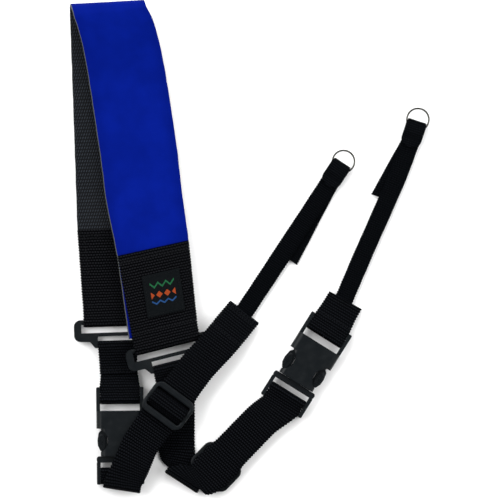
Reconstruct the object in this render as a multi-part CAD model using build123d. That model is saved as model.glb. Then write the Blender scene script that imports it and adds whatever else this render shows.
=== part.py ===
from build123d import *
import math
import os

# Saxophone neck strap, laid out on a flat surface.  Millimetres, +Z up.
# +X is to the right and +Y is towards the fold of the neck pad.
# The origin is under the middle of the laid-out strap, on the surface.
#
# The strap is a neoprene neck pad with a webbing sleeve and a reducer loop on each end.
# Each reducer carries an arm: the "back" arm comes from the pad end that lies underneath,
# the "front" arm from the pad end that lies on top.  Each arm has a side-release buckle,
# a slider, an adjusting strap and a narrow strap with a ring for the instrument's hook.

os.makedirs("parts", exist_ok=True)

# ---------------------------------------------------------------- webbing and pad
WEB = 25.4            # width of the arm webbing
WEB_T = 1.5           # its thickness
NARROW = 12.7         # width of the ring webbing
PAD_W = 50.6          # width of the neck pad
PAD_T = 2.4           # thickness of its neoprene
LINING_T = 0.6        # thickness of its grip lining
PAD_FOLD_R = 6.1      # radius of the pad's bend, at mid thickness
FOLD_TWIST = 6.0      # the pad turns this many degrees in its bend
FOLD_SLIDE = 3.0      # and moves this far to the right
FOLD_STEPS = 8
PAD_END_GAP = 3.3     # from the pad's cut end to where its sleeve starts to close on the reducer
PAD_LIP = 0.1         # the pad stands out this far beyond each edge of its sleeves
WIDE_T = 1.6          # thickness of the sleeve webbing
BUNCH = 4.4           # how much narrower the sleeve is where it is bunched up in the reducer
TAPER_LEN = 3.0       # the sleeve is at its narrowest from here, measured from its turn
GAP = 0.2             # clearance between webbing and what it goes round
PLY_GAP = 0.1         # clearance between two layers of webbing
SLEEVE_GAP = 0.2      # clearance between the pad and each layer of its sleeve

# ---------------------------------------------------------------- plastic hardware
BAR_W = 3.2           # width of every bar that webbing goes round
BAR_T = 3.0           # its thickness
BAR_R = 1.2           # rounding of its edges
SLOT_PLAY = 1.0       # a slot is this much wider than its webbing, on each side
RIM = 2.6             # width of a frame's side rails
REDUCER_T = 3.4       # thickness of a reducer loop
REDUCER_RIM = 5.0     # width of its ends beside the wide slot
WIDE_SLOT = 5.9       # length of its slot for the sleeve
MID_BAR = 2.5         # width of the bar between its slots
NARROW_SLOT = 4.8     # length of its slot for the arm webbing
SHOULDER = 3.2        # from its middle bar to the corner where its outline steps in
STEP = 0.4            # fall of the sloping shoulder
WAIST = 5.5           # width of the outline beside the narrow slot, at the shoulder
TIP = 2.0             # the same at the bar
END_R = 4.4           # rounding of its four end corners
CORNER_R = 1.4        # rounding of the others
SLIDER_LEN = 23.4     # length of a slider along the strap
SLIDER_BAR = 4.2      # width of each of its three bars
SLIDER_T = 3.2
SLIDER_CORNER_R = 6.0
SLIDER_SLOT_R = 1.6   # rounding of its slots' corners
SLIDER_EDGE_R = 0.9
BUCKLE_H = 11.0       # height of a buckle's socket half
BUCKLE_DECK_W = 27.0  # width of the socket between its side windows
SOCKET_LEN = 31.0     # length of the socket
SOCKET_DEPTH = 21.0   # how deep the plug goes in
SOCKET_ROOM = 6.0     # clear height inside the socket
WINDOW_TOP = 19.0     # far end of the side windows, from the mouth
MOUTH_BAND = 3.2      # length of the closed band at the mouth
PLUG_PLATE = 4.5      # length of the plug's shoulder plate
PLUG_T = 5.0          # its thickness
PLUG_CORNER_R = 1.6
PRONG_T = 5.2         # thickness of the prongs
PRONG_ROOT = 8.5      # distance of a prong's inner face from the centre line, at its root
PRONG_INSET = 0.6     # how far the prongs stay inside the frame's width
DECK_WALL = 1.3       # wall beside the socket's room
DECK_R = 3.6          # rounding along the deck's edges
BODY_R = 4.2          # rounding along the socket body's edges
SCALLOP_R = 8.3       # radius of the hollows in the deck's sides, for finger and thumb
SCALLOP_OUT = 3.0     # their centres stand this far outside the deck
SCALLOP_Y = 10.6      # and this far from the mouth
TONGUE_W = 7.0        # width of the plug's centre guide
TONGUE_LEN = 16.0     # its length from the mouth
TONGUE_PLAY = 1.2     # room left above and below it together
TONGUE_CHAMFER = 1.5
LATCH_PLAY = 0.3      # clearance between prong, plug and socket
SOCKET_SLOT = 6.4     # open slot between the socket and the bar for its webbing
PLUG_SLOT = 5.2       # the same on the plug
OUTER_GAP = 4.2       # between that bar and the outer bar
OUTER_W = 2.6         # width of the outer bar
OUTER_T = 2.4         # its thickness
OUTER_DROP = 3.2      # the outer bar sits this far below the bar
RAIL_T = 4.0          # thickness of the side rails
RAIL_R = 0.8          # rounding of their corners

# ---------------------------------------------------------------- rings and label
RING_R = 7.6          # radius of a ring, to the middle of its wire
WIRE_R = 0.7          # radius of the ring's wire
LABEL_W = 26.5        # width of the label
LABEL_LEN = 29.0
LABEL_T = 0.7
LABEL_PLACE = 0.475   # middle of the label, as a share of the way from the sleeve's top to its bar
LABEL_OFFSET = 2.3    # it is sewn on this far right of the middle
LABEL_TURN = 13.2
LABEL_GAP = 0.15      # between the label and the sleeve

# ---------------------------------------------------------------- worked-out values
PAD_ALL = PAD_T + LINING_T
WIDE = PAD_W - 2 * PAD_LIP                  # width of the sleeve webbing at the pad
WIDE_END = WIDE - BUNCH                     # its width in the reducer
WIDE_SLOT_W = WIDE_END + 4 * SLOT_PLAY
REDUCER_W = WIDE_SLOT_W + 2 * REDUCER_RIM   # overall width of a reducer loop
REACH = math.hypot(BAR_W / 2 - BAR_R, BAR_T / 2 - BAR_R) + BAR_R
WRAP_R = REACH + GAP + WEB_T / 2            # webbing round a bar, at mid thickness
WIDE_WRAP_R = REACH + GAP + WIDE_T / 2      # the same for the sleeve webbing
SLEEVE_LIFT = PAD_ALL / 2 + SLEEVE_GAP + WIDE_T / 2
SLOT_W = WEB + 2 * SLOT_PLAY
FRAME_W = SLOT_W + 2 * RIM                  # overall width of a buckle frame and a slider
PLY = WEB_T + PLY_GAP                       # from one layer to the next
LOW = WEB_T / 2                             # height of a layer lying on the surface
SOCKET_BAR = SOCKET_LEN + SOCKET_SLOT + BAR_W / 2
PLUG_BAR = -(PLUG_PLATE + PLUG_SLOT + BAR_W / 2)
WIDE_SLOT_END = -(BAR_W / 2 + WIDE_SLOT)
MID_BAR_END = WIDE_SLOT_END - MID_BAR
NARROW_SLOT_END = MID_BAR_END - NARROW_SLOT
NARROW_BAR_Y = NARROW_SLOT_END - BAR_W / 2

# ---------------------------------------------------------------- where things lie
FRONT_TURN = 14.0     # heading of the front reducer, degrees from +Y
FRONT_ROLL = 5.0      # the front leaf slopes down to the right
BACK_TURN = 2.0
REDUCER_GAP = 3.5     # the front reducer clears the back one by this at the back sleeve's edge
LEAF_GAP = 1.6        # between the pad's two leaves
STACK_GAP = 1.5       # between the sleeves' tops, at the back sleeve's edge
SLOPE = math.tan(math.radians(FRONT_ROLL))
BACK_REDUCER = Vector(-91.7, -49.3, WIDE_T / 2 + WIDE_WRAP_R)
FRONT_REDUCER_X = -57.1
EDGE_AT_REDUCER = BACK_REDUCER.X + WIDE_END / 2 - FRONT_REDUCER_X
FRONT_REDUCER_Z = BACK_REDUCER.Z + REDUCER_T + REDUCER_GAP + EDGE_AT_REDUCER * SLOPE
FRONT_REDUCER = Vector(FRONT_REDUCER_X, -64.1, FRONT_REDUCER_Z)
BACK_TOP_X = -93.9    # middle of the back sleeve's top
FRONT_TOP_X = -66.9   # middle of the front sleeve's top
EDGE_AT_TOP = BACK_TOP_X + WIDE / 2 - FRONT_TOP_X
SLEEVED_Z = WIDE_T + SLEEVE_GAP + PAD_ALL / 2  # middle of the back leaf, inside its sleeve
FRONT_SLEEVE_Z = SLEEVED_Z + 2 * SLEEVE_LIFT + WIDE_T + STACK_GAP + EDGE_AT_TOP * SLOPE
BUCKLE_Z = BUCKLE_H / 2
BACK_BUCKLE = Vector(-89.4, -142.0, BUCKLE_Z)
BACK_BUCKLE_TURN = 0.6
FRONT_BUCKLE = Vector(31.6, -90.9, BUCKLE_Z)
FRONT_BUCKLE_TURN = -32.0
BRIDGE_GAP = 0.3      # between the back buckle and the strap that crosses it
BRIDGE_A = BUCKLE_H + BRIDGE_GAP + WEB_T / 2
BRIDGE_B = BRIDGE_A + PLY                   # the upper layer of that strap
BACK_SLIDER_TURN = -36.5
BACK_SLIDER = Vector(-56.3, -107.2, BRIDGE_B + WEB_T / 2 + GAP + SLIDER_T / 2)
FRONT_SLIDER_TURN = -44.0
FRONT_SLIDER = Vector(-23.5, -149.7, WEB_T + GAP + SLIDER_T / 2)
BACK_RING_TURN = -33.4
BACK_RING = Vector(64.6, 61.2, 0)
FRONT_RING_TURN = -18.2
FRONT_RING = Vector(116.0, 90.2, 0)
RUN_EDGE = -38.3      # right edge of the front strap where it comes straight down
RUN_X = RUN_EDGE - WEB / 2
RING_Z = WEB_T + GAP + WIRE_R               # the wire lies on the lower layer of its loop
LOOP_LEN = 15.0                             # length of a ring loop, from hinge line to fold
FOLD_INSET = 0.9                            # the fold stands this far short of the ring's centre
HINGE_GAP = 0.4                             # between a ring loop and its strap
EYE_END = 5.4                               # from the hinge line to where the loop stands open
FLAT_END = 2.0                              # from the hinge line to where its layers part


# ================================================================ webbing
def side_of(across, roll):
    """The direction across a strap: across is its angle in plan, roll lowers its right side."""
    a = math.radians(across)
    r = math.radians(roll)
    return Vector(math.cos(a) * math.cos(r), math.sin(a) * math.cos(r), -math.sin(r))


def down_of(across):
    """The level direction along a strap, away from the pad."""
    a = math.radians(across)
    return Vector(math.sin(a), -math.cos(a), 0)


def up_of(across, roll):
    """The direction straight out of a strap's upper face."""
    return side_of(across, roll).cross(down_of(across) * -1)


def at(x, y, z, across=0.0, roll=0.0, width=1.0):
    """One station of a strap.  width is a share of the strap's own width."""
    return Vector(x, y, z), across, roll, width


def beside(origin, turn, along, z, across=None, offset=0.0):
    """A station measured from an origin: along runs up the heading, offset to its right."""
    forward = down_of(turn) * -1
    place = origin + forward * along + side_of(turn, 0) * offset
    return at(place.X, place.Y, z, turn if across is None else across)


def between(bar, top, distance, across, roll, width):
    """The station of the pad's end, inside its sleeve, this far from the reducer's bar."""
    run = top[0] - bar
    place = bar + run.normalized() * distance
    return place, across, roll, width


def lifted(station, height):
    """The same station, raised out of the strap's face."""
    place, across, roll, width = station
    return place + up_of(across, roll) * height, across, roll, width


def turned(centre, radius, across, start, stop, steps=5, roll=0.0, width=1.0):
    """Stations round a bar or a fold.  90 is above it, 0 towards the arm's end, 180 the other way."""
    out = down_of(across)
    up = up_of(across, roll)
    stations = []
    for i in range(steps + 1):
        t = math.radians(start + (stop - start) * i / steps)
        place = centre + out * (radius * math.cos(t)) + up * (radius * math.sin(t))
        stations.append((place, across, roll, width))
    return stations


def ribbon(stations, width, thickness):
    """A flat strap through its stations."""
    sections = []
    last = len(stations) - 1
    for i, (place, across, roll, share) in enumerate(stations):
        before = stations[max(i - 1, 0)][0]
        after = stations[min(i + 1, last)][0]
        side = side_of(across, roll)
        face = side.cross(after - before).normalized() * (thickness / 2)
        half = side * (width * share / 2)
        corners = [place - half - face, place + half - face, place + half + face, place - half + face]
        sections.append(Wire.make_polygon(corners, close=True))
    return Solid.make_loft(sections, ruled=True)


def placed(shape, origin, turn, roll=0.0):
    """A piece of hardware, made about its own origin, set down in its place."""
    return Location(origin) * Rotation(0, 0, turn) * Rotation(0, roll, 0) * shape


# ================================================================ neck pad
FRONT_SLEEVE_TOP = at(FRONT_TOP_X, 1.3, FRONT_SLEEVE_Z, 12.5, FRONT_ROLL)
BACK_SLEEVE_TOP = at(BACK_TOP_X, 14.5, SLEEVED_Z, BACK_TURN)


def sleeve_foot(bar, turn):
    """Where the sleeve's two faces start to close on the reducer's bar."""
    return bar - down_of(turn) * (WIDE_WRAP_R + TAPER_LEN)


def pad_stations():
    """The middle of the pad: back leaf, fold, front leaf."""
    front_foot = sleeve_foot(FRONT_REDUCER, FRONT_TURN)
    back_z = PAD_ALL / 2
    front_z = back_z + PAD_ALL + LEAF_GAP
    fold = Vector(-99.1, 163.5, back_z + PAD_FOLD_R)
    fold_top = back_z + 2 * PAD_FOLD_R
    stations = [
        between(sleeve_foot(BACK_REDUCER, BACK_TURN), BACK_SLEEVE_TOP, PAD_END_GAP, BACK_TURN, 0, 1.0),
        at(-93.9, 14.0, SLEEVED_Z, BACK_TURN),
        at(-94.8, 40.0, back_z, BACK_TURN),
        at(-98.8, 155.0, back_z, BACK_TURN),
    ]
    bend = turned(fold, PAD_FOLD_R, BACK_TURN, 270, 90, steps=FOLD_STEPS)
    for i, (place, across, roll, width) in enumerate(bend):
        share = i / FOLD_STEPS
        slid = place + Vector(FOLD_SLIDE * share, 0, 0)
        stations.append((slid, across + FOLD_TWIST * share, roll, width))
    stations += [
        at(-94.6, 157.0, fold_top - 0.5, 8.5),
        at(-91.2, 147.0, fold_top - 2.3, 11.5),
        at(-88.4, 135.5, front_z + 2.8, 12.0, 1.0),
        at(-85.6, 121.0, front_z + 0.9, 11.0, 2.5),
        at(-82.3, 102.0, front_z, 9.6, 3.2),
        at(-76.1, 63.6, front_z, 8.4, 3.4),
        at(-73.0, 39.0, front_z + 0.9, 9.0, 4.0),
        FRONT_SLEEVE_TOP,
        between(front_foot, FRONT_SLEEVE_TOP, PAD_END_GAP, FRONT_TURN, FRONT_ROLL, 0.97),
    ]
    return stations


def outward(stations):
    """Stations with the direction out of the fold, from the way the pad runs there."""
    last = len(stations) - 1
    found = []
    for i, (place, across, roll, width) in enumerate(stations):
        run = stations[min(i + 1, last)][0] - stations[max(i - 1, 0)][0]
        face = side_of(across, roll).cross(run).normalized()
        found.append((place, across, roll, width, face * -1))
    return found


def pad_layer(height, thickness):
    """One layer of the pad, this far out of the fold from the pad's middle."""
    stations = []
    for place, across, roll, width, out in outward(pad_stations()):
        stations.append((place + out * height, across, roll, width))
    return ribbon(stations, PAD_W, thickness)


def neoprene_pad():
    """The coloured layer is on the outside of the fold."""
    return pad_layer(LINING_T / 2, PAD_T)


def pad_grip_lining():
    """The dimpled lining is on the inside of the fold, against the neck."""
    return pad_layer(-PAD_T / 2, LINING_T)


# ================================================================ sleeves and label
def sleeve(top, bar, turn, roll):
    """Webbing from one face of the pad, round the reducer's wide bar, to the other face."""
    share = WIDE_END / WIDE
    near = sleeve_foot(bar, turn)
    middle = at(near.X, near.Y, near.Z, turn, roll, share)
    stations = [lifted(top, -SLEEVE_LIFT), lifted(middle, -WIDE_WRAP_R)]
    stations += turned(bar, WIDE_WRAP_R, turn, -90, 90, steps=6, roll=roll, width=share)
    stations += [lifted(middle, WIDE_WRAP_R), lifted(top, SLEEVE_LIFT)]
    return ribbon(stations, WIDE, WIDE_T)


def back_sleeve():
    return sleeve(BACK_SLEEVE_TOP, BACK_REDUCER, BACK_TURN, 0)


def front_sleeve():
    return sleeve(FRONT_SLEEVE_TOP, FRONT_REDUCER, FRONT_TURN, FRONT_ROLL)


def sleeve_label():
    """A woven patch on the front sleeve's upper face."""
    top_place = FRONT_SLEEVE_TOP[0]
    run = FRONT_REDUCER - top_place
    middle = top_place + run * LABEL_PLACE + Vector(LABEL_OFFSET, 0, 0)
    rise = SLEEVE_LIFT + WIDE_T / 2 + LABEL_T / 2 + LABEL_GAP
    stations = []
    for end in (-LABEL_LEN / 2, LABEL_LEN / 2):
        place = middle + run.normalized() * end
        stations.append(lifted((place, LABEL_TURN, FRONT_ROLL, 1.0), rise))
    return ribbon(stations, LABEL_W, LABEL_T)


# ================================================================ reducers
CUT = 20.0            # cutting boxes stand well clear of the plates they cut
BAR_LAP = 1.0         # a bar runs this far into the rails at its ends


def bar_between(x, y, z=0.0, width=BAR_W, thickness=BAR_T):
    """A bar with rounded edges, along X, that ends at -x and x."""
    section = RectangleRounded(width, thickness, min(BAR_R, 0.49 * thickness, 0.49 * width))
    return Location((0, y, z)) * (Plane.YZ * extrude(section, x, both=True))


def reducer():
    """A flat loop with a wide slot for the sleeve and a narrow slot for the arm webbing."""
    half = REDUCER_W / 2
    waist = SLOT_W / 2 + WAIST
    tip = SLOT_W / 2 + TIP
    top = BAR_W / 2
    bottom = NARROW_SLOT_END - BAR_W
    shoulder = MID_BAR_END - SHOULDER
    outline = Polyline(
        (-half, top), (half, top), (half, shoulder), (waist, shoulder - STEP), (tip, bottom),
        (-tip, bottom), (-waist, shoulder - STEP), (-half, shoulder), close=True,
    )
    face = make_face(outline)
    face = fillet(face.vertices().filter_by(lambda v: abs(v.X) < half - END_R), CORNER_R)
    face = fillet(face.vertices().filter_by(lambda v: abs(v.X) > half - 0.5 * CORNER_R), END_R)
    plate = extrude(face, REDUCER_T / 2, both=True)
    wide_cut = Location((0, (top + WIDE_SLOT_END) / 2, 0)) * Box(WIDE_SLOT_W, top - WIDE_SLOT_END, CUT)
    narrow_cut = Location((0, (MID_BAR_END + bottom) / 2, 0)) * Box(SLOT_W, MID_BAR_END - bottom, CUT)
    loop = plate - wide_cut - narrow_cut
    loop += bar_between(WIDE_SLOT_W / 2 + BAR_LAP, 0)
    return loop + bar_between(SLOT_W / 2 + BAR_LAP, NARROW_BAR_Y)


def back_reducer():
    return placed(reducer(), BACK_REDUCER, BACK_TURN)


def front_reducer():
    return placed(reducer(), FRONT_REDUCER, FRONT_TURN, FRONT_ROLL)


# ================================================================ buckles
def ladder(start, bar, way):
    """Two rails, the bar that the webbing goes round, and the lower outer bar.  way is 1 or -1."""
    outer = bar + way * (BAR_W / 2 + OUTER_GAP + OUTER_W / 2)
    end = outer + way * OUTER_W / 2
    length = abs(end - start)
    middle = (start + end) / 2
    rail_x = SLOT_W / 2 + RIM / 2
    frame = bar_between(SLOT_W / 2 + BAR_LAP, bar)
    frame += bar_between(SLOT_W / 2 + BAR_LAP, outer, -OUTER_DROP, OUTER_W, OUTER_T)
    foot_top = RAIL_T / 4
    foot_bottom = -OUTER_DROP - OUTER_T / 2
    for x in (-rail_x, rail_x):
        rail = Location((x, middle, 0)) * Box(RIM, length, RAIL_T)
        foot_z = (foot_top + foot_bottom) / 2
        rail += Location((x, outer, foot_z)) * Box(RIM, OUTER_W, foot_top - foot_bottom)
        frame += fillet(rail.edges().filter_by(Axis.Z), RAIL_R)
    return frame


def socket_half():
    """The socket: mouth at the origin, webbing frame towards +Y."""
    deck = Plane.XZ * extrude(RectangleRounded(BUCKLE_DECK_W, BUCKLE_H, DECK_R), -WINDOW_TOP)
    rest = SOCKET_LEN - WINDOW_TOP
    body = Plane.XZ * extrude(RectangleRounded(FRAME_W, BUCKLE_H, BODY_R), -rest)
    shell = deck + Location((0, WINDOW_TOP, 0)) * body
    room_w = BUCKLE_DECK_W - 2 * DECK_WALL
    shell -= Location((0, (SOCKET_DEPTH - CUT) / 2, 0)) * Box(room_w, SOCKET_DEPTH + CUT, SOCKET_ROOM)
    window_len = WINDOW_TOP - MOUTH_BAND
    window_y = MOUTH_BAND + window_len / 2
    shell -= Location((0, window_y, 0)) * Box(BUCKLE_DECK_W + CUT, window_len, SOCKET_ROOM)
    for side in (-1, 1):
        x = side * (BUCKLE_DECK_W / 2 + SCALLOP_OUT)
        shell -= Location((x, SCALLOP_Y, 0)) * Cylinder(SCALLOP_R, BUCKLE_H + CUT)
    return shell + ladder(SOCKET_LEN - BAR_LAP, SOCKET_BAR, 1)


def plug_half():
    """The plug without its prongs: shoulder plate, centre guide and webbing frame."""
    plate_y = -PLUG_PLATE / 2 - LATCH_PLAY / 2
    plate = Location((0, plate_y, 0)) * Box(FRAME_W, PLUG_PLATE - LATCH_PLAY, PLUG_T)
    plate = fillet(plate.edges().filter_by(Axis.Z), PLUG_CORNER_R)
    tongue_y = (TONGUE_LEN - BAR_LAP) / 2
    tongue = Location((0, tongue_y, 0)) * Box(TONGUE_W, TONGUE_LEN + BAR_LAP, SOCKET_ROOM - TONGUE_PLAY)
    tongue = chamfer(tongue.edges().filter_by(Axis.Z).group_by(Axis.Y)[-1], TONGUE_CHAMFER)
    return plate + tongue + ladder(-PLUG_PLATE + BAR_LAP / 2, PLUG_BAR, -1)


def prong():
    """The right-hand prong, with the barb that latches behind the socket's mouth band."""
    stem = BUCKLE_DECK_W / 2 - DECK_WALL - LATCH_PLAY - 0.2
    outside = FRAME_W / 2 - PRONG_INSET
    catch = MOUTH_BAND + LATCH_PLAY
    tip = WINDOW_TOP - LATCH_PLAY
    outline = Polyline(
        (PRONG_ROOT, LATCH_PLAY), (stem, LATCH_PLAY), (stem, catch), (outside - 2.0, catch + 0.4),
        (outside - 0.3, catch + 3.6), (outside, catch + 7.5), (outside - 0.9, tip - 2.6),
        (outside - 3.4, tip), (stem - 1.8, tip), (PRONG_ROOT + 0.6, catch + 11.0),
        (PRONG_ROOT + 0.3, catch + 2.0), close=True,
    )
    return extrude(make_face(outline), PRONG_T / 2, both=True)


def prong_pair(origin, turn):
    """The left and the right prong of one plug, in place."""
    right = prong()
    left = mirror(right, about=Plane.YZ)
    return placed(left, origin, turn), placed(right, origin, turn)


# ================================================================ sliders
def slider():
    """A three-bar slider: two slots, rounded corners."""
    plate = extrude(RectangleRounded(FRAME_W, SLIDER_LEN, SLIDER_CORNER_R), SLIDER_T / 2, both=True)
    slot_len = (SLIDER_LEN - 3 * SLIDER_BAR) / 2
    for y in (-1, 1):
        middle = y * (SLIDER_BAR + slot_len) / 2
        slot = extrude(RectangleRounded(SLOT_W, slot_len, SLIDER_SLOT_R), CUT, both=True)
        plate -= Location((0, middle, 0)) * slot
    return fillet(plate.edges().filter_by(Axis.X), SLIDER_EDGE_R)


def end_loop(origin, turn, way):
    """The strap's end over the slider's centre bar.  way is 1 above the bar and -1 below it."""
    top = SLIDER_T / 2 + GAP + WEB_T / 2
    foot = SLIDER_T / 2 - WEB_T / 2
    half = SLIDER_BAR / 2
    profile = [
        (half + 2.6, -foot), (half + 1.9, 0.6), (half + 1.0, top - 0.5), (half, top),
        (-half, top), (-half - 1.0, top - 0.5), (-half - 1.9, 0.6), (-half - 2.6, -foot),
    ]
    stations = []
    for along, height in profile:
        stations.append(beside(origin, turn, along, origin.Z + way * height))
    return ribbon(stations, WEB, WEB_T)


# ================================================================ arm webbing
def ladder_place(buckle, turn, along):
    return buckle + down_of(turn) * -along


def over_outer(buckle, turn, bar, way, layer):
    """Webbing over the outer bar: layer 0 is next to it, layer 1 is on top of that."""
    outer = bar + way * (BAR_W / 2 + OUTER_GAP + OUTER_W / 2)
    z = buckle.Z - OUTER_DROP + OUTER_T / 2 + GAP + WEB_T / 2 + layer * PLY
    inner = beside(buckle, turn, outer - way * OUTER_W / 2, z)
    return inner, beside(buckle, turn, outer + way * OUTER_W / 2, z)


def back_tether():
    """Short doubled webbing from the back reducer to the back socket."""
    narrow_bar = BACK_REDUCER + down_of(BACK_TURN) * -NARROW_BAR_Y
    bar = ladder_place(BACK_BUCKLE, BACK_BUCKLE_TURN, SOCKET_BAR)
    lower = over_outer(BACK_BUCKLE, BACK_BUCKLE_TURN, SOCKET_BAR, 1, 0)
    upper = over_outer(BACK_BUCKLE, BACK_BUCKLE_TURN, SOCKET_BAR, 1, 1)
    stations = [at(-90.9, -85.6, LOW + 2 * PLY + 0.5, 1), at(-91.2, -78, LOW + 2 * PLY + 0.1, 2)]
    stations += turned(narrow_bar, WRAP_R, BACK_TURN, 90, 270)
    stations += [at(-91.0, -74, LOW, 1.5), at(-90.4, -86, LOW, 1)]
    stations += [lower[1], lower[0]]
    stations += turned(bar, WRAP_R, BACK_BUCKLE_TURN, -90, 90)
    stations += [upper[0], upper[1]]
    stations += [at(-90.3, -85.0, LOW + PLY + 0.1, 1), at(-90.8, -74.5, LOW + PLY, 1.5)]
    return ribbon(stations, WEB, WEB_T)


def back_strap():
    """The back arm's adjusting strap: doubled through the plug, folded back over the buckle."""
    turn = BACK_BUCKLE_TURN
    bar = ladder_place(BACK_BUCKLE, turn, PLUG_BAR)
    inner = over_outer(BACK_BUCKLE, turn, PLUG_BAR, -1, 0)
    outer = over_outer(BACK_BUCKLE, turn, PLUG_BAR, -1, 1)
    fold_turn = -9.0
    inner_r = 1.2 * WEB_T
    outer_r = inner_r + PLY
    fold_z = outer[0][0].Z + inner_r
    fold = Vector(-88.0, -161.8, fold_z)
    slide_start = -16.0
    slide_end = 34.0
    stations = [
        beside(BACK_SLIDER, BACK_SLIDER_TURN, 2.0, BRIDGE_A),
        beside(BACK_SLIDER, BACK_SLIDER_TURN, slide_start, BRIDGE_A),
        at(-75.6, -133.6, BRIDGE_A, -32),
        at(-81.6, -148.2, BRIDGE_A, -24),
        at(-85.3, -156.0, fold_z + inner_r + 0.4, -16),
    ]
    stations += turned(fold, inner_r, fold_turn, 90, -90)
    stations += [outer[1], outer[0]]
    stations += turned(bar, WRAP_R, turn, 90, 270)
    stations += [inner[0], inner[1]]
    stations += turned(fold, outer_r, fold_turn, -90, 90)
    stations += [
        at(-85.3, -156.0, fold_z + outer_r + 0.4, -16),
        at(-81.6, -148.2, BRIDGE_B, -24),
        at(-75.6, -133.6, BRIDGE_B, -32),
        beside(BACK_SLIDER, BACK_SLIDER_TURN, slide_start, BRIDGE_B),
        beside(BACK_SLIDER, BACK_SLIDER_TURN, slide_end, BRIDGE_B),
        at(-21.0, -63.8, BRIDGE_B - 1.9, -38),
        at(-11.0, -51.6, 6.6, -38.3),
        at(-3.7, -42.7, LOW + 2 * PLY, -38.3),
    ]
    return ribbon(stations, WEB, WEB_T)


def front_strap():
    """The front arm's adjusting strap: down from the reducer, a loose turn, then doubled to the plug."""
    narrow_bar = FRONT_REDUCER + down_of(FRONT_TURN) * -NARROW_BAR_Y
    turn = FRONT_BUCKLE_TURN
    bar = ladder_place(FRONT_BUCKLE, turn, PLUG_BAR)
    lower = over_outer(FRONT_BUCKLE, turn, PLUG_BAR, -1, 0)
    upper = over_outer(FRONT_BUCKLE, turn, PLUG_BAR, -1, 1)
    run_a = FRONT_SLIDER.Z + SLIDER_T / 2 + GAP + WEB_T / 2
    run_b = run_a + PLY
    loose = Vector(RUN_X + 5.4, -157.4, (run_b + LOW) / 2)
    travel = 46.0
    tail_end_z = 2.6
    tail_z = 5.4
    stations = [
        at(RUN_X, -101.0, tail_end_z, 6, 2),
        at(RUN_X - 0.9, -92.5, tail_z, 10, 4),
    ]
    stations += turned(narrow_bar, WRAP_R, FRONT_TURN, 270, 90, roll=FRONT_ROLL)
    stations += [
        at(RUN_X - 0.6, -92.0, tail_z + 1.5 * PLY, 10, 4),
        at(RUN_X + 0.1, -103.0, tail_end_z + PLY, 6, 2),
        at(RUN_X + 0.1, -116.0, LOW + 0.6, 1),
        at(RUN_X, -136.0, LOW, -2),
        at(RUN_X + 1.4, -148.0, LOW, -14),
    ]
    stations += turned(loose, loose.Z - LOW, -33, -90, 90, steps=6, width=1.06)
    stations += [
        at(RUN_X + 13.4, -158.4, run_b, -58, 0, 1.03),
        beside(FRONT_SLIDER, FRONT_SLIDER_TURN, -10.5, run_b),
        beside(FRONT_SLIDER, FRONT_SLIDER_TURN, travel, run_b),
    ]
    stations += [upper[1], upper[0]]
    stations += turned(bar, WRAP_R, turn, 90, 270)
    stations += [lower[0], lower[1]]
    stations += [
        beside(FRONT_SLIDER, FRONT_SLIDER_TURN, travel, run_a),
        beside(FRONT_SLIDER, FRONT_SLIDER_TURN, -3.0, run_a),
    ]
    return ribbon(stations, WEB, WEB_T)


def front_tether():
    """Short doubled webbing from the front socket, with the narrow strap sewn between its ends."""
    turn = FRONT_BUCKLE_TURN
    bar = ladder_place(FRONT_BUCKLE, turn, SOCKET_BAR)
    lower = over_outer(FRONT_BUCKLE, turn, SOCKET_BAR, 1, 0)
    upper = over_outer(FRONT_BUCKLE, turn, SOCKET_BAR, 1, 1)
    stations = [at(66.0, -34.6, LOW, -29), at(61.6, -42.2, LOW + 0.1, -30), lower[1], lower[0]]
    stations += turned(bar, WRAP_R, turn, -90, 90)
    stations += [upper[0], upper[1]]
    stations += [at(61.6, -42.2, LOW + 2 * PLY + 0.1, -30), at(66.0, -34.6, LOW + 2 * PLY, -29)]
    return ribbon(stations, WEB, WEB_T)


# ================================================================ ring straps
def loop_start(ring, turn):
    """The hinge line of a ring loop, on the surface."""
    return ring + down_of(turn) * (FOLD_INSET + LOOP_LEN)


def narrow_strap(points, tail_length, tail_offset, ring, turn):
    """The upper layer that carries the load and the shorter tail under it, one solid each."""
    end = loop_start(ring, turn) + down_of(turn) * HINGE_GAP
    upper = points + [at(end.X, end.Y, LOW + PLY, turn)]
    tail_start = end + down_of(turn) * tail_length
    tail = [
        beside(tail_start, turn, 0, LOW, turn - 1.5, tail_offset),
        beside(end, turn, 0, LOW),
    ]
    return Compound([ribbon(upper, NARROW, WEB_T), ribbon(tail, NARROW, WEB_T)])


def back_narrow_strap():
    points = [
        at(-15.5, -59.8, LOW + 3.6, BACK_RING_TURN - 3),
        at(-6.5, -46.6, LOW + PLY, BACK_RING_TURN - 1),
        at(6.5, -27.0, LOW + PLY, BACK_RING_TURN),
    ]
    return narrow_strap(points, 61.0, 6.2, BACK_RING, BACK_RING_TURN)


def front_narrow_strap():
    points = [
        at(62.0, -41.4, LOW + PLY, -27),
        at(65.9, -31.8, LOW + PLY, -24),
        at(78.0, -3.5, LOW + PLY, -24),
        at(101.6, 49.6, LOW + PLY, -22),
    ]
    return narrow_strap(points, 39.0, -5.6, FRONT_RING, FRONT_RING_TURN)


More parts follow.
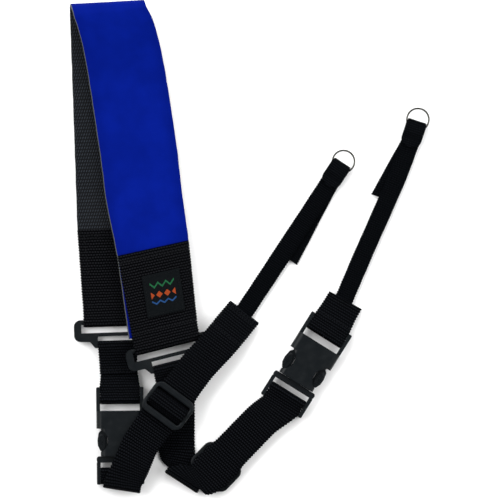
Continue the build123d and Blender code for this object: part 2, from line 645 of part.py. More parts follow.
def ring_loop(ring, turn):
    """The end of the narrow strap, folded round the ring's wire."""
    start = loop_start(ring, turn)
    upper_z = RING_Z + WIRE_R + GAP + WEB_T / 2
    fold_r = (upper_z - LOW) / 2
    straight = LOOP_LEN - fold_r - WEB_T / 2
    fold = start + down_of(turn) * -straight + Vector(0, 0, LOW + fold_r)
    stations = [beside(start, turn, 0, LOW), beside(start, turn, straight - GAP, LOW)]
    stations += turned(fold, fold_r, turn, 270, 90, steps=6)
    stations += [
        beside(start, turn, EYE_END, upper_z),
        beside(start, turn, FLAT_END, LOW + PLY),
        beside(start, turn, 0, LOW + PLY),
    ]
    return ribbon(stations, NARROW, WEB_T)


def wire_ring(ring):
    return Location((ring.X, ring.Y, RING_Z)) * Torus(RING_R, WIRE_R)


# ================================================================ all the pieces
back_prongs = prong_pair(BACK_BUCKLE, BACK_BUCKLE_TURN)
front_prongs = prong_pair(FRONT_BUCKLE, FRONT_BUCKLE_TURN)

pieces = {
    "neoprene_pad": neoprene_pad(),
    "pad_grip_lining": pad_grip_lining(),
    "back_sleeve": back_sleeve(),
    "front_sleeve": front_sleeve(),
    "sleeve_label": sleeve_label(),
    "back_reducer": back_reducer(),
    "front_reducer": front_reducer(),
    "back_tether": back_tether(),
    "back_buckle_socket": placed(socket_half(), BACK_BUCKLE, BACK_BUCKLE_TURN),
    "back_buckle_plug": placed(plug_half(), BACK_BUCKLE, BACK_BUCKLE_TURN),
    "back_prong_left": back_prongs[0],
    "back_prong_right": back_prongs[1],
    "back_strap": back_strap(),
    "back_slider": placed(slider(), BACK_SLIDER, BACK_SLIDER_TURN),
    "back_slider_loop": end_loop(BACK_SLIDER, BACK_SLIDER_TURN, 1),
    "back_narrow_strap": back_narrow_strap(),
    "back_ring_loop": ring_loop(BACK_RING, BACK_RING_TURN),
    "back_ring": wire_ring(BACK_RING),
    "front_strap": front_strap(),
    "front_slider": placed(slider(), FRONT_SLIDER, FRONT_SLIDER_TURN),
    "front_slider_loop": end_loop(FRONT_SLIDER, FRONT_SLIDER_TURN, -1),
    "front_buckle_plug": placed(plug_half(), FRONT_BUCKLE, FRONT_BUCKLE_TURN),
    "front_prong_left": front_prongs[0],
    "front_prong_right": front_prongs[1],
    "front_buckle_socket": placed(socket_half(), FRONT_BUCKLE, FRONT_BUCKLE_TURN),
    "front_tether": front_tether(),
    "front_narrow_strap": front_narrow_strap(),
    "front_ring_loop": ring_loop(FRONT_RING, FRONT_RING_TURN),
    "front_ring": wire_ring(FRONT_RING),
}

# The origin goes under the middle of the laid-out strap.
boxes = [piece.bounding_box() for piece in pieces.values()]
middle_x = (min(b.min.X for b in boxes) + max(b.max.X for b in boxes)) / 2
middle_y = (min(b.min.Y for b in boxes) + max(b.max.Y for b in boxes)) / 2
to_middle = Location((-middle_x, -middle_y, 0))

for name, piece in pieces.items():
    export_step(to_middle * piece, f"parts/{name}.step")
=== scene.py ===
import math

import bmesh
import bpy
import numpy as np
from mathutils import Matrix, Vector


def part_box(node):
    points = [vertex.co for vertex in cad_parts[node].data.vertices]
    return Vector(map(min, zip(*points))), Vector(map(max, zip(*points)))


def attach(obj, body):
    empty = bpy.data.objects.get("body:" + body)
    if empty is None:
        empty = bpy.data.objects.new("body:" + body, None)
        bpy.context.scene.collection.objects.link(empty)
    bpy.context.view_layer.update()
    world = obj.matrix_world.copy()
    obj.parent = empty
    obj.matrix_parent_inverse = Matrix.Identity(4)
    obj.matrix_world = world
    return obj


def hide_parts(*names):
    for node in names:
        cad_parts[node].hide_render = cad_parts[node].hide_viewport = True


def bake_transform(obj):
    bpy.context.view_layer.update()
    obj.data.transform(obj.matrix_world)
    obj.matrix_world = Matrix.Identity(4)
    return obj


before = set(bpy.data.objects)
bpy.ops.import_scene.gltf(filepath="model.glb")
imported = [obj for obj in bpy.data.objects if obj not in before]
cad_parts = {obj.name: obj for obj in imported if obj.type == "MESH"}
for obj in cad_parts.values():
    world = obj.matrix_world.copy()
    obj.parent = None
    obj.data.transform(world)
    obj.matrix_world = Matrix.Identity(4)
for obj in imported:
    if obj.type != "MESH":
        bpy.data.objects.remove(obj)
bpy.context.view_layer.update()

# Saxophone neck strap laid out on a flat surface.  Straps are laid out in millimetres and
# turned into metres when their mesh is made.  +Z is up, +Y is towards the pad's fold.
MM = 0.001

# ---------------------------------------------------------------- sizes, mm
WEB, WEB_T = 25.4, 1.5                     # arm webbing
NARROW = 12.7                              # ring webbing
WIDE, WIDE_END, WIDE_T = 50.4, 46.0, 1.6   # sleeve webbing, at the pad and in the reducer
PAD_W, PAD_T, LINING_T = 50.6, 2.4, 0.6
PAD_FOLD_R = 6.1      # radius of the pad's bend
PAD_END_GAP = 3.3     # from the pad's cut end to where its sleeve starts to close
TAPER_LEN = 3.0       # the sleeve is at its narrowest from here, measured from its turn
BAR_W, BAR_T, BAR_R = 3.2, 3.0, 1.2         # every bar that webbing goes round
OUTER_GAP, OUTER_W, OUTER_T, OUTER_DROP = 4.2, 2.6, 2.4, 3.2       # a buckle's outer bar
SOCKET_BAR, PLUG_BAR = 39.0, -11.3         # along a buckle, from its mouth
BUCKLE_H = 11.0
SLIDER_T, SLIDER_BAR = 3.2, 4.2
NARROW_BAR_Y = -16.4                       # along a reducer, from its wide bar
REDUCER_T, REDUCER_GAP = 3.4, 3.5
STACK_GAP = 1.5       # between the sleeves' tops
BRIDGE_GAP = 0.3      # between the back buckle and the strap that crosses it
GAP, PLY_GAP, SLEEVE_GAP = 0.2, 0.1, 0.2
REACH = math.hypot(BAR_W / 2 - BAR_R, BAR_T / 2 - BAR_R) + BAR_R
WRAP_R = REACH + GAP + WEB_T / 2
WIDE_WRAP_R = REACH + GAP + WIDE_T / 2
PLY = WEB_T + PLY_GAP
LOW = WEB_T / 2
PAD_ALL = PAD_T + LINING_T
SLEEVE_LIFT = PAD_ALL / 2 + SLEEVE_GAP + WIDE_T / 2
RIB = 1.9             # pitch of the webbing's ribs
RING_R, WIRE_R = 7.6, 0.7
RING_Z = WEB_T + GAP + WIRE_R
LOOP_LEN, FOLD_INSET = 15.0, 0.9
TAB_END, TAB_STEPS = 5.6, 7                  # a ring tab's rounded end
LABEL_W, LABEL_LEN, LABEL_T, LABEL_GAP = 26.5, 29.0, 0.7, 0.15
LABEL_PLACE, LABEL_OFFSET, LABEL_TURN = 0.475, 2.3, 13.2   # share of the way to the bar, and right
EDGE_R = 0.35         # rounding of the mouldings' edges

# ---------------------------------------------------------------- places, mm
BACK_RING, BACK_RING_TURN = np.array([64.6, 61.2, 0.0]), -33.4
FRONT_RING, FRONT_RING_TURN = np.array([116.0, 90.2, 0.0]), -18.2
ring_low, ring_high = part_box("front_ring")
SHIFT = (np.array(ring_low) + np.array(ring_high)) / 2 / MM - FRONT_RING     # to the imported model
SHIFT[2] = 0.0
FRONT_TURN, FRONT_ROLL, BACK_TURN = 14.0, 5.0, 2.0
SLOPE = math.tan(math.radians(FRONT_ROLL))
BACK_TOP_X, FRONT_TOP_X = -93.9, -66.9       # middles of the sleeves' tops
FRONT_REDUCER_X = -57.1
BACK_REDUCER = np.array([-91.7, -49.3, WIDE_T / 2 + WIDE_WRAP_R])
EDGE_AT_REDUCER = BACK_REDUCER[0] + WIDE_END / 2 - FRONT_REDUCER_X
FRONT_REDUCER_Z = BACK_REDUCER[2] + REDUCER_T + REDUCER_GAP + EDGE_AT_REDUCER * SLOPE
FRONT_REDUCER = np.array([FRONT_REDUCER_X, -64.1, FRONT_REDUCER_Z])
EDGE_AT_TOP = BACK_TOP_X + WIDE / 2 - FRONT_TOP_X
SLEEVED_Z = WIDE_T + SLEEVE_GAP + PAD_ALL / 2
FRONT_SLEEVE_Z = SLEEVED_Z + 2 * SLEEVE_LIFT + WIDE_T + STACK_GAP + EDGE_AT_TOP * SLOPE
BACK_BUCKLE, BACK_BUCKLE_TURN = np.array([-89.4, -142.0, BUCKLE_H / 2]), 0.6
FRONT_BUCKLE, FRONT_BUCKLE_TURN = np.array([31.6, -90.9, BUCKLE_H / 2]), -32.0
BRIDGE_A = BUCKLE_H + BRIDGE_GAP + WEB_T / 2
BRIDGE_B = BRIDGE_A + PLY
BACK_SLIDER_TURN, FRONT_SLIDER_TURN = -36.5, -44.0
BACK_SLIDER = np.array([-56.3, -107.2, BRIDGE_B + WEB_T / 2 + GAP + SLIDER_T / 2])
FRONT_SLIDER = np.array([-23.5, -149.7, WEB_T + GAP + SLIDER_T / 2])


# ================================================================ laying a strap
def side_of(across, roll=0.0):
    """The direction across a strap."""
    a, r = math.radians(across), math.radians(roll)
    return np.array([math.cos(a) * math.cos(r), math.sin(a) * math.cos(r), -math.sin(r)])


def down_of(across):
    """The level direction along a strap, away from the pad."""
    a = math.radians(across)
    return np.array([math.sin(a), -math.cos(a), 0.0])


def up_of(across, roll=0.0):
    return np.cross(side_of(across, roll), -down_of(across))


def at(x, y, z, across=0.0, roll=0.0, width=1.0):
    """One station: place, angle across in plan, roll, and share of the strap's width."""
    return np.array([x, y, z, across, roll, width], float)


def station(place, across, roll=0.0, width=1.0):
    return at(place[0], place[1], place[2], across, roll, width)


def beside(origin, turn, along, z, across=None, offset=0.0):
    place = origin - down_of(turn) * along + side_of(turn) * offset
    return at(place[0], place[1], z, turn if across is None else across)


def between(bar, top, distance, across, roll=0.0, width=1.0):
    run = top[:3] - bar
    return station(bar + run / np.linalg.norm(run) * distance, across, roll, width)


def lifted(there, height):
    out = there.copy()
    out[:3] += up_of(there[3], there[4]) * height
    return out


def turned(centre, radius, across, start, stop, steps=14, roll=0.0, width=1.0):
    """Stations round a bar or a fold.  90 is above it, 0 towards the arm's end."""
    out, up = down_of(across), up_of(across, roll)
    found = []
    for i in range(steps + 1):
        t = math.radians(start + (stop - start) * i / steps)
        place = centre + out * (radius * math.cos(t)) + up * (radius * math.sin(t))
        found.append(station(place, across, roll, width))
    return found


class Lay:
    """A strap's middle line with its corners rounded off, sampled evenly."""

    def __init__(self, stations, step=0.475, soft=3.0):
        raw = np.array(stations, float)
        leg = np.maximum(np.linalg.norm(np.diff(raw[:, :3], axis=0), axis=1), 1e-6)
        along = np.concatenate([[0.0], np.cumsum(leg)])
        total = along[-1]
        self.s = np.linspace(0.0, total, max(int(round(total / step)), 4) + 1)
        reach = np.interp(self.s, (along[:-1] + along[1:]) / 2, np.clip(leg * 0.3, 0.2, soft))
        reach = np.minimum(reach, np.minimum(self.s, total - self.s) / 2 + 1e-6)
        mean, weight = 0.0, 0.0
        for k in np.linspace(-2.0, 2.0, 9):
            share = math.exp(-k * k / 2)
            here = self.s + k * reach
            mean = mean + share * np.column_stack([np.interp(here, along, raw[:, c]) for c in range(6)])
            weight += share
        mean = mean / weight
        self.place = mean[:, :3] + SHIFT
        across, roll = np.radians(mean[:, 3]), np.radians(mean[:, 4])
        self.side = np.column_stack([
            np.cos(across) * np.cos(roll), np.sin(across) * np.cos(roll), -np.sin(roll),
        ])
        tangent = np.gradient(self.place, axis=0)
        face = np.cross(self.side, tangent)
        self.face = face / np.maximum(np.linalg.norm(face, axis=1), 1e-9)[:, None]
        self.share = mean[:, 5]

    def point(self, s, u, height, half):
        """A point on the strap: u from -1 to 1 across it, height out of its face."""
        place, side, face = (
            np.array([np.interp(s, self.s, block[:, c]) for c in range(3)])
            for block in (self.place, self.side, self.face)
        )
        return place + side * (u * np.interp(s, self.s, self.share) * half) + face * height


def smooth_noise(where, size, seed):
    """A gentle unevenness that depends on the place only, so plies that lie together stay together."""
    rng = np.random.default_rng(seed)
    total = np.zeros(len(where))
    for _ in range(6):
        way = rng.normal(size=3)
        way /= np.linalg.norm(way) * size * rng.uniform(0.7, 1.5)
        total += np.sin(where @ way * 2 * math.pi + rng.uniform(0, 6.28))
    return total / 6


def placed(name, data):
    made = bpy.data.objects.new(name, data)
    bpy.context.scene.collection.objects.link(made)
    return made


def mesh_object(name, points, faces, uvs=None, materials=(), face_material=None):
    """A mesh in metres from points in millimetres, smooth shaded."""
    mesh = bpy.data.meshes.new(name)
    mesh.from_pydata((np.asarray(points) * MM).tolist(), [], faces)
    if uvs is not None:
        layer = mesh.uv_layers.new(name="Lay")
        corner = np.zeros(len(mesh.loops), np.int32)
        mesh.loops.foreach_get("vertex_index", corner)
        layer.data.foreach_set("uv", np.asarray(uvs, np.float32)[corner].ravel())
    for m in materials:
        mesh.materials.append(m)
    if face_material is not None:
        mesh.polygons.foreach_set("material_index", np.asarray(face_material, np.int32))
    mesh.polygons.foreach_set("use_smooth", [True] * len(mesh.polygons))
    mesh.update()
    return placed(name, mesh)


def swept(name, lay, half, profile, tooth=0.0, materials=(), profile_material=None, uneven=0.12):
    """Sweeps a closed profile of (across share, height in mm, edge inset in mm) along a lay."""
    rows, wide = len(lay.s), len(profile)
    u, h, inset = np.array(profile, float).T
    edge = (np.abs(u) > 0.99).astype(float)
    width = (lay.share * half)[:, None]
    wave = np.sin(lay.s * 2 * math.pi / RIB)[:, None] * tooth
    ragged = smooth_noise(lay.place, 14.0, 3)[:, None] * uneven
    reach = np.sign(u) * (np.abs(u) * width - inset + edge * (wave + ragged))
    points = lay.place[:, None, :] + lay.side[:, None, :] * reach[..., None]
    points = (points + lay.face[:, None, :] * h[None, :, None]).reshape(-1, 3)
    uvs = np.stack([reach, np.repeat(lay.s[:, None], wide, 1)], axis=-1).reshape(-1, 2)
    first = (np.arange(rows - 1)[:, None] * wide + np.arange(wide)[None, :])
    after = (np.arange(rows - 1)[:, None] * wide + (np.arange(wide)[None, :] + 1) % wide)
    quads = np.stack([first, after, after + wide, first + wide], axis=-1).reshape(-1, 4)
    faces = quads.tolist() + [list(range(wide))[::-1], [(rows - 1) * wide + i for i in range(wide)]]
    index = None
    if profile_material is not None:
        index = np.concatenate([np.tile(profile_material, rows - 1), [profile_material[0]] * 2])
    return mesh_object(name, points, faces, uvs, materials, index)


def web_profile(thickness, columns):
    """Rounded edges and evenly spaced columns, starting at the lower left."""
    top = np.linspace(-0.955, 0.955, columns + 1)
    h = thickness / 2
    points = [(-1.0, -0.45 * h, 0), (-1.0, 0.45 * h, 0)] + [(x, h, 0) for x in top]
    points += [(1.0, 0.45 * h, 0), (1.0, -0.45 * h, 0)] + [(x, -h, 0) for x in top[::-1]]
    return points


LAYS = {}             # the middle line of every strap, by its name


def webbing(name, stations, width, nodes, body, thickness=WEB_T, tooth=0.34, columns=8,
            material=None, soft=3.0):
    lay = LAYS[name] = Lay(stations, soft=soft)
    made = swept(name, lay, width / 2, web_profile(thickness, columns), tooth, [material or WEBBING])
    if body:
        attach(made, body)
    if nodes:
        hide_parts(*nodes)
    return made


# ================================================================ shader helpers
def new_group(name, inputs, outputs):
    tree = bpy.data.node_groups.new(name, "ShaderNodeTree")
    for label, kind, value in inputs:
        socket = tree.interface.new_socket(label, in_out="INPUT", socket_type=kind)
        if value is not None:
            socket.default_value = value
    for label, kind in outputs:
        tree.interface.new_socket(label, in_out="OUTPUT", socket_type=kind)
    return tree, tree.nodes.new("NodeGroupInput"), tree.nodes.new("NodeGroupOutput")


def feed(tree, socket, value):
    """Connects an output to a socket, or sets its value."""
    if isinstance(value, bpy.types.NodeSocket):
        tree.links.new(value, socket)
    else:
        socket.default_value = value


def sums(tree, operation, a, b=0.5, c=0.0):
    node = tree.nodes.new("ShaderNodeMath")
    node.operation = operation
    for i, value in enumerate((a, b, c)):
        feed(tree, node.inputs[i], value)
    return node.outputs[0]


def noise(tree, vector, scale, detail=2.0, rough=0.5):
    node = tree.nodes.new("ShaderNodeTexNoise")
    feed(tree, node.inputs["Vector"], vector)
    node.inputs["Scale"].default_value = scale
    node.inputs["Detail"].default_value = detail
    node.inputs["Roughness"].default_value = rough
    return node.outputs["Fac"]


def blend_colour(tree, share, a, b):
    node = tree.nodes.new("ShaderNodeMix")
    node.data_type = "RGBA"
    feed(tree, node.inputs[0], share)
    feed(tree, node.inputs[6], a)
    feed(tree, node.inputs[7], b)
    return node.outputs[2]


def bump(tree, height, distance, strength=1.0):
    node = tree.nodes.new("ShaderNodeBump")
    feed(tree, node.inputs["Distance"], distance)
    feed(tree, node.inputs["Strength"], strength)
    feed(tree, node.inputs["Height"], height)
    return node.outputs["Normal"]


def fade(tree, value, low, high, out_low=0.0, out_high=1.0):
    node = tree.nodes.new("ShaderNodeMapRange")
    node.interpolation_type = "SMOOTHSTEP"
    for i, v in enumerate((value, low, high, out_low, out_high)):
        feed(tree, node.inputs[i], v)
    return node.outputs[0]


def new_material(name, **fixed):
    """A material and its main shader, with the shader's constant values set."""
    made = bpy.data.materials.new(name)
    made.use_nodes = True
    shader = made.node_tree.nodes["Principled BSDF"]
    for label, value in fixed.items():
        shader.inputs[label.replace("_", " ")].default_value = value
    return made, made.node_tree, shader


def use_group(tree, group, **values):
    node = tree.nodes.new("ShaderNodeGroup")
    node.node_tree = group
    for label, value in values.items():
        feed(tree, node.inputs[label.replace("_", " ")], value)
    return node


def surface_uv(tree):
    node = tree.nodes.new("ShaderNodeUVMap")
    node.uv_map = "Lay"
    return node.outputs[0]


def across_and_along(tree, place):
    node = tree.nodes.new("ShaderNodeSeparateXYZ")
    feed(tree, node.inputs[0], place)
    return node.outputs[0], node.outputs[1]


def off_middle(tree, cells):
    """How far a place is from the middle of its cell, from 0 to 0.5."""
    return sums(tree, "ABSOLUTE", sums(tree, "SUBTRACT", sums(tree, "FRACT", cells), 0.5))


def object_place(tree):
    return tree.nodes.new("ShaderNodeTexCoord").outputs["Object"]


# ---------------------------------------------------------------- groups
def weave_group():
    """Ribbed webbing: rows of ribs across the strap, each a run of short raised floats of yarn."""
    tree, start, end = new_group(
        "Webbing weave",
        [("Across and along", "NodeSocketVector", None), ("Rib pitch", "NodeSocketFloat", RIB),
         ("Yarn pitch", "NodeSocketFloat", 1.7), ("Depth", "NodeSocketFloat", 0.0004)],
        [("Raised", "NodeSocketFloat"), ("Lint", "NodeSocketFloat"), ("Normal", "NodeSocketVector")],
    )
    x, y = across_and_along(tree, start.outputs[0])
    wander = sums(tree, "SUBTRACT", noise(tree, start.outputs[0], 0.22, 3.0), 0.5)
    y = sums(tree, "ADD", y, sums(tree, "MULTIPLY", wander, 0.9))
    along = sums(tree, "DIVIDE", y, start.outputs[1])
    shift = sums(tree, "MULTIPLY", sums(tree, "MODULO", sums(tree, "FLOOR", along), 2.0), 0.5)
    across = sums(tree, "ADD", sums(tree, "DIVIDE", x, start.outputs[2]), shift)
    rib = fade(tree, off_middle(tree, along), 0.48, 0.16)
    yarn = fade(tree, off_middle(tree, across), 0.5, 0.22)
    raised = sums(tree, "MULTIPLY", rib, sums(tree, "MULTIPLY_ADD", yarn, 0.78, 0.22))
    fibre = noise(tree, start.outputs[0], 2.6, 3.0, 0.7)
    uneven = sums(tree, "MULTIPLY", raised, sums(tree, "MULTIPLY_ADD", fibre, 0.8, 0.55))
    feed(tree, end.inputs[0], uneven)
    feed(tree, end.inputs[1], fade(tree, noise(tree, start.outputs[0], 0.9, 4.0, 0.8), 0.68, 0.78))
    feed(tree, end.inputs[2], bump(tree, uneven, start.outputs[3]))
    return tree


def moulded_group():
    """Moulded nylon: fine spark-eroded grain, a few handling rubs and dull patches."""
    tree, start, end = new_group(
        "Moulded grain",
        [("Place", "NodeSocketVector", None), ("Grain", "NodeSocketFloat", 1.0)],
        [("Wear", "NodeSocketFloat"), ("Roughness", "NodeSocketFloat"), ("Normal", "NodeSocketVector")],
    )
    grain = noise(tree, start.outputs[0], 2600.0, 2.0)
    rub = noise(tree, start.outputs[0], 180.0, 5.0, 0.65)
    feed(tree, end.inputs[0], fade(tree, rub, 0.5, 0.74))
    feed(tree, end.inputs[1], fade(tree, rub, 0.3, 0.75, 0.34, 0.5))
    feed(tree, end.inputs[2], bump(tree, grain, 0.00003, start.outputs[1]))
    return tree


WEAVE = weave_group()
MOULDED = moulded_group()


# ---------------------------------------------------------------- materials
def webbing_material(name, dark, light, rib=RIB, yarn=1.7, depth=0.0004):
    made, tree, shader = new_material(
        name, Specular_IOR_Level=0.008, Sheen_Weight=0.001, Sheen_Roughness=0.5, Roughness=0.5,
    )
    weave = use_group(
        tree, WEAVE, Across_and_along=surface_uv(tree), Rib_pitch=rib, Yarn_pitch=yarn, Depth=depth,
    )
    # Painted highlight: the raised yarn of each rib gets the lighter colour, over the webbing's own
    # near-black.
    body = blend_colour(tree, sums(tree, "POWER", weave.outputs["Raised"], 2.3), dark, light)
    lint = sums(tree, "MULTIPLY", weave.outputs["Lint"], 0.12)
    feed(tree, shader.inputs["Base Color"], blend_colour(tree, lint, body, (0.05, 0.05, 0.055, 1)))
    feed(tree, shader.inputs["Normal"], weave.outputs["Normal"])
    return made


def pad_material():
    """Neoprene faced with fine knitted jersey; both long edges darkened by painted shade."""
    made, tree, shader = new_material(
        "Blue neoprene face", Specular_IOR_Level=0.01, Roughness=0.6, Sheen_Weight=0.006,
        Sheen_Roughness=0.4, Sheen_Tint=(0.15, 0.3, 1.0, 1.0),
    )
    lay = surface_uv(tree)
    x, y = across_and_along(tree, lay)
    wale = sums(tree, "SINE", sums(tree, "MULTIPLY", x, 9.0))
    course = sums(tree, "SINE", sums(tree, "MULTIPLY", y, 7.5))
    knit = sums(tree, "MULTIPLY", wale, course)
    cloudy = noise(tree, lay, 0.045, 4.0, 0.6)
    fuzz = noise(tree, lay, 1.6, 3.0, 0.7)
    tone = sums(tree, "ADD", sums(tree, "MULTIPLY", cloudy, 0.7), sums(tree, "MULTIPLY", fuzz, 0.3))
    tone = fade(tree, tone, 0.3, 0.7)
    colour = blend_colour(tree, tone, (0.0004, 0.0050, 0.118, 1), (0.0008, 0.0070, 0.156, 1))
    # Painted shade: the blue darkens towards both edges, where the pad curves away from the light.
    rim = fade(tree, sums(tree, "ABSOLUTE", x), 17.0, 26.5, 0.0, 0.38)
    feed(tree, shader.inputs["Base Color"], blend_colour(tree, rim, colour, (0.0003, 0.0032, 0.082, 1)))
    height = sums(tree, "ADD", sums(tree, "MULTIPLY", knit, 0.35), fuzz)
    feed(tree, shader.inputs["Normal"], bump(tree, height, 0.00006))
    return made


def foam_material():
    """The cut edge of the neoprene, where the foam core shows."""
    made, tree, shader = new_material("Neoprene foam core", Specular_IOR_Level=0.1, Roughness=0.9)
    cells = noise(tree, surface_uv(tree), 3.0, 3.0, 0.8)
    tone = fade(tree, cells, 0.35, 0.7)
    colour = blend_colour(tree, tone, (0.045, 0.05, 0.048, 1), (0.11, 0.115, 0.105, 1))
    feed(tree, shader.inputs["Base Color"], colour)
    feed(tree, shader.inputs["Normal"], bump(tree, cells, 0.0001))
    return made


def grip_material():
    """Shark-skin grip lining: slanted rows of small pimples."""
    made, tree, shader = new_material("Grip lining", Specular_IOR_Level=0.08, Roughness=0.5)
    lay = surface_uv(tree)
    x, y = across_and_along(tree, lay)
    along = sums(tree, "DIVIDE", y, 2.3)
    row = sums(tree, "FLOOR", along)
    slant = sums(tree, "ADD", sums(tree, "DIVIDE", x, 1.75), sums(tree, "MULTIPLY", row, 0.5))
    across = sums(tree, "SUBTRACT", sums(tree, "FRACT", slant), 0.5)
    down = sums(tree, "SUBTRACT", sums(tree, "FRACT", along), 0.5)
    lean = sums(tree, "SUBTRACT", across, sums(tree, "MULTIPLY", down, 0.45))
    lean = sums(tree, "POWER", sums(tree, "MULTIPLY", lean, 1.25), 2.0)
    down = sums(tree, "POWER", sums(tree, "MULTIPLY", down, 0.95), 2.0)
    pimple = fade(tree, sums(tree, "SQRT", sums(tree, "ADD", lean, down)), 0.46, 0.24)
    worn = noise(tree, lay, 0.3, 4.0)
    share = sums(tree, "MULTIPLY", pimple, fade(tree, worn, 0.2, 0.7, 0.6, 1.0))
    colour = blend_colour(tree, share, (0.0010, 0.0014, 0.0020, 1), (0.0165, 0.0205, 0.0265, 1))
    feed(tree, shader.inputs["Base Color"], colour)
    feed(tree, shader.inputs["Normal"], bump(tree, pimple, 0.0003))
    return made


def plastic_material():
    made, tree, shader = new_material(
        "Black moulded nylon", Specular_IOR_Level=0.12, Coat_Weight=0.015, Coat_Roughness=0.3,
    )
    grain = use_group(tree, MOULDED, Place=object_place(tree), Grain=0.8)
    wear = grain.outputs["Wear"]
    colour = blend_colour(tree, wear, (0.0022, 0.0034, 0.0044, 1), (0.0040, 0.0054, 0.0066, 1))
    feed(tree, shader.inputs["Base Color"], colour)
    feed(tree, shader.inputs["Roughness"], grain.outputs["Roughness"])
    feed(tree, shader.inputs["Normal"], grain.outputs["Normal"])
    return made


def metal_material():
    made, tree, shader = new_material(
        "Nickel-plated wire", Metallic=1.0, Specular_Tint=(0.35, 0.35, 0.33, 1.0),
    )
    rub = noise(tree, object_place(tree), 900.0, 4.0, 0.6)
    colour = blend_colour(tree, rub, (0.03, 0.03, 0.027, 1), (0.11, 0.11, 0.10, 1))
    feed(tree, shader.inputs["Base Color"], colour)
    feed(tree, shader.inputs["Roughness"], fade(tree, rub, 0.3, 0.7, 0.16, 0.34))
    return made


def thread_material():
    """Bonded sewing thread: a tight twist with a slight gloss."""
    made, tree, shader = new_material(
        "Black thread", Specular_IOR_Level=0.05, Roughness=0.42, Sheen_Weight=0.004,
    )
    twist = noise(tree, object_place(tree), 4000.0, 2.0)
    colour = blend_colour(tree, twist, (0.0014, 0.0017, 0.0022, 1), (0.0048, 0.0054, 0.0066, 1))
    feed(tree, shader.inputs["Base Color"], colour)
    feed(tree, shader.inputs["Normal"], bump(tree, twist, 0.00006))
    return made


# The second colour of each webbing is the painted highlight on its raised yarn.
WEBBING = webbing_material(
    "Black nylon webbing", (0.0001, 0.0002, 0.0003, 1), (0.0062, 0.0070, 0.0090, 1),
)
SLEEVE_WEB = webbing_material(
    "Wide sleeve webbing", (0.0001, 0.0002, 0.0004, 1), (0.0090, 0.0094, 0.0110, 1), 1.9, 1.9,
)
NARROW_WEB = webbing_material(
    "Narrow ring webbing", (0.0001, 0.0002, 0.0003, 1), (0.0036, 0.0044, 0.0060, 1), 1.5, 1.3, 0.0003,
)
# The tab is the narrow ring webbing in a lighter copy: a painted highlight so the tab stands out over the
# strap beneath it.
LIT_TAB_WEB = webbing_material(
    "Ring tab webbing with painted highlight", (0.0002, 0.0003, 0.0005, 1), (0.0048, 0.0058, 0.0076, 1), 1.5, 1.3, 0.0003,
)
BLUE = pad_material()
FOAM = foam_material()
GRIP = grip_material()
PLASTIC = plastic_material()
METAL = metal_material()
THREAD = thread_material()

# ================================================================ neck pad
FRONT_SLEEVE_TOP = at(FRONT_TOP_X, 1.3, FRONT_SLEEVE_Z, 12.5, FRONT_ROLL)
BACK_SLEEVE_TOP = at(BACK_TOP_X, 14.5, SLEEVED_Z, BACK_TURN)
FOLD = np.array([-99.1, 163.5, PAD_ALL / 2 + PAD_FOLD_R])


def pad_bend(steps=30, twist=6.0, slide=3.0):
    """The pad turns and slides a little to the right as it bends over."""
    bend = turned(FOLD, PAD_FOLD_R, BACK_TURN, 270, 90, steps=steps)
    for i, there in enumerate(bend):
        share = max(2 * i / steps - 0.8, 0.0) / 1.2
        there[0] += slide * share
        there[3] += twist * share
    return bend


def sleeve_foot(bar, turn):
    """Where a sleeve's two faces start to close on its reducer's bar."""
    return bar - down_of(turn) * (WIDE_WRAP_R + TAPER_LEN)


def pad_end(reducer, top, turn, roll, offset, width):
    """The pad's cut end inside its sleeve, drawn in a little and moved across."""
    end = between(sleeve_foot(reducer, turn), top, PAD_END_GAP, turn, roll, width)
    end[:3] += side_of(turn, roll) * offset
    return end


PAD_STATIONS = [
    pad_end(BACK_REDUCER, BACK_SLEEVE_TOP, BACK_TURN, 0.0, 0.0, 0.87),
    at(BACK_TOP_X, 14.0, SLEEVED_Z, BACK_TURN),
    at(-94.8, 40.0, PAD_ALL / 2, BACK_TURN),
    at(-98.8, 155.0, PAD_ALL / 2, BACK_TURN),
    *pad_bend(),
    at(-93.1, 157.0, 13.2, 8.0, 0.0, 1.02),
    at(-90.2, 147.0, 11.4, 10.0, 0.0, 1.03),
    at(-87.6, 135.5, 8.9, 11.0, 1.0, 1.04),
    at(-85.0, 121.0, 7.0, 10.5, 2.5, 1.05),
    at(-82.0, 102.0, 6.1, 9.6, 3.2, 1.055),
    at(-76.3, 63.6, 6.1, 8.4, 3.4, 1.055),
    at(-73.6, 39.0, 7.0, 9.0, 4.0, 1.05),
    FRONT_SLEEVE_TOP,
    pad_end(FRONT_REDUCER, FRONT_SLEEVE_TOP, FRONT_TURN, FRONT_ROLL, -2.3, 0.91),
]
PAD_LAY = Lay(PAD_STATIONS, step=0.8, soft=5.0)
PAD_LAY.face = -PAD_LAY.face          # out of the fold


def pad_profile(low, high, cut_low, cut_high, columns):
    """A slab between two heights; the cut edge leans in by the two cuts."""
    across = np.linspace(-0.97, 0.97, columns + 1)
    middle = (low + high) / 2
    points = [(1.0, low + 0.15, cut_low), (1.0, middle, cut_low), (1.0, high - 0.12, cut_low + 0.05)]
    points += [(x, high, 0) for x in across[::-1]]
    points += [(-1.0, high - 0.12, cut_high), (-1.0, middle, (cut_low + cut_high) / 2)]
    points += [(-1.0, low + 0.15, cut_low)] + [(x, low, 0) for x in across]
    return points


PAD_COLUMNS = 26


def pad_layer(name, low, high, cut_low, cut_high, materials, index, node):
    profile = pad_profile(low, high, cut_low, cut_high, PAD_COLUMNS)
    made = swept(name, PAD_LAY, PAD_W / 2, profile, 0.0, materials, index, uneven=0.15)
    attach(made, "pad")
    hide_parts(node)
    return made


def make_pad():
    """The neoprene: blue face out of the fold, its foam showing on the cut edges."""
    low, high = LINING_T / 2 - PAD_T / 2, LINING_T / 2 + PAD_T / 2
    blue = [1, 1, 0] + [0] * (PAD_COLUMNS + 1) + [1, 1, 1] + [1] * (PAD_COLUMNS + 1)
    made = pad_layer("neoprene_pad_finished", low, high, 0.0, 0.5, [BLUE, FOAM], blue,
                     "neoprene_pad")


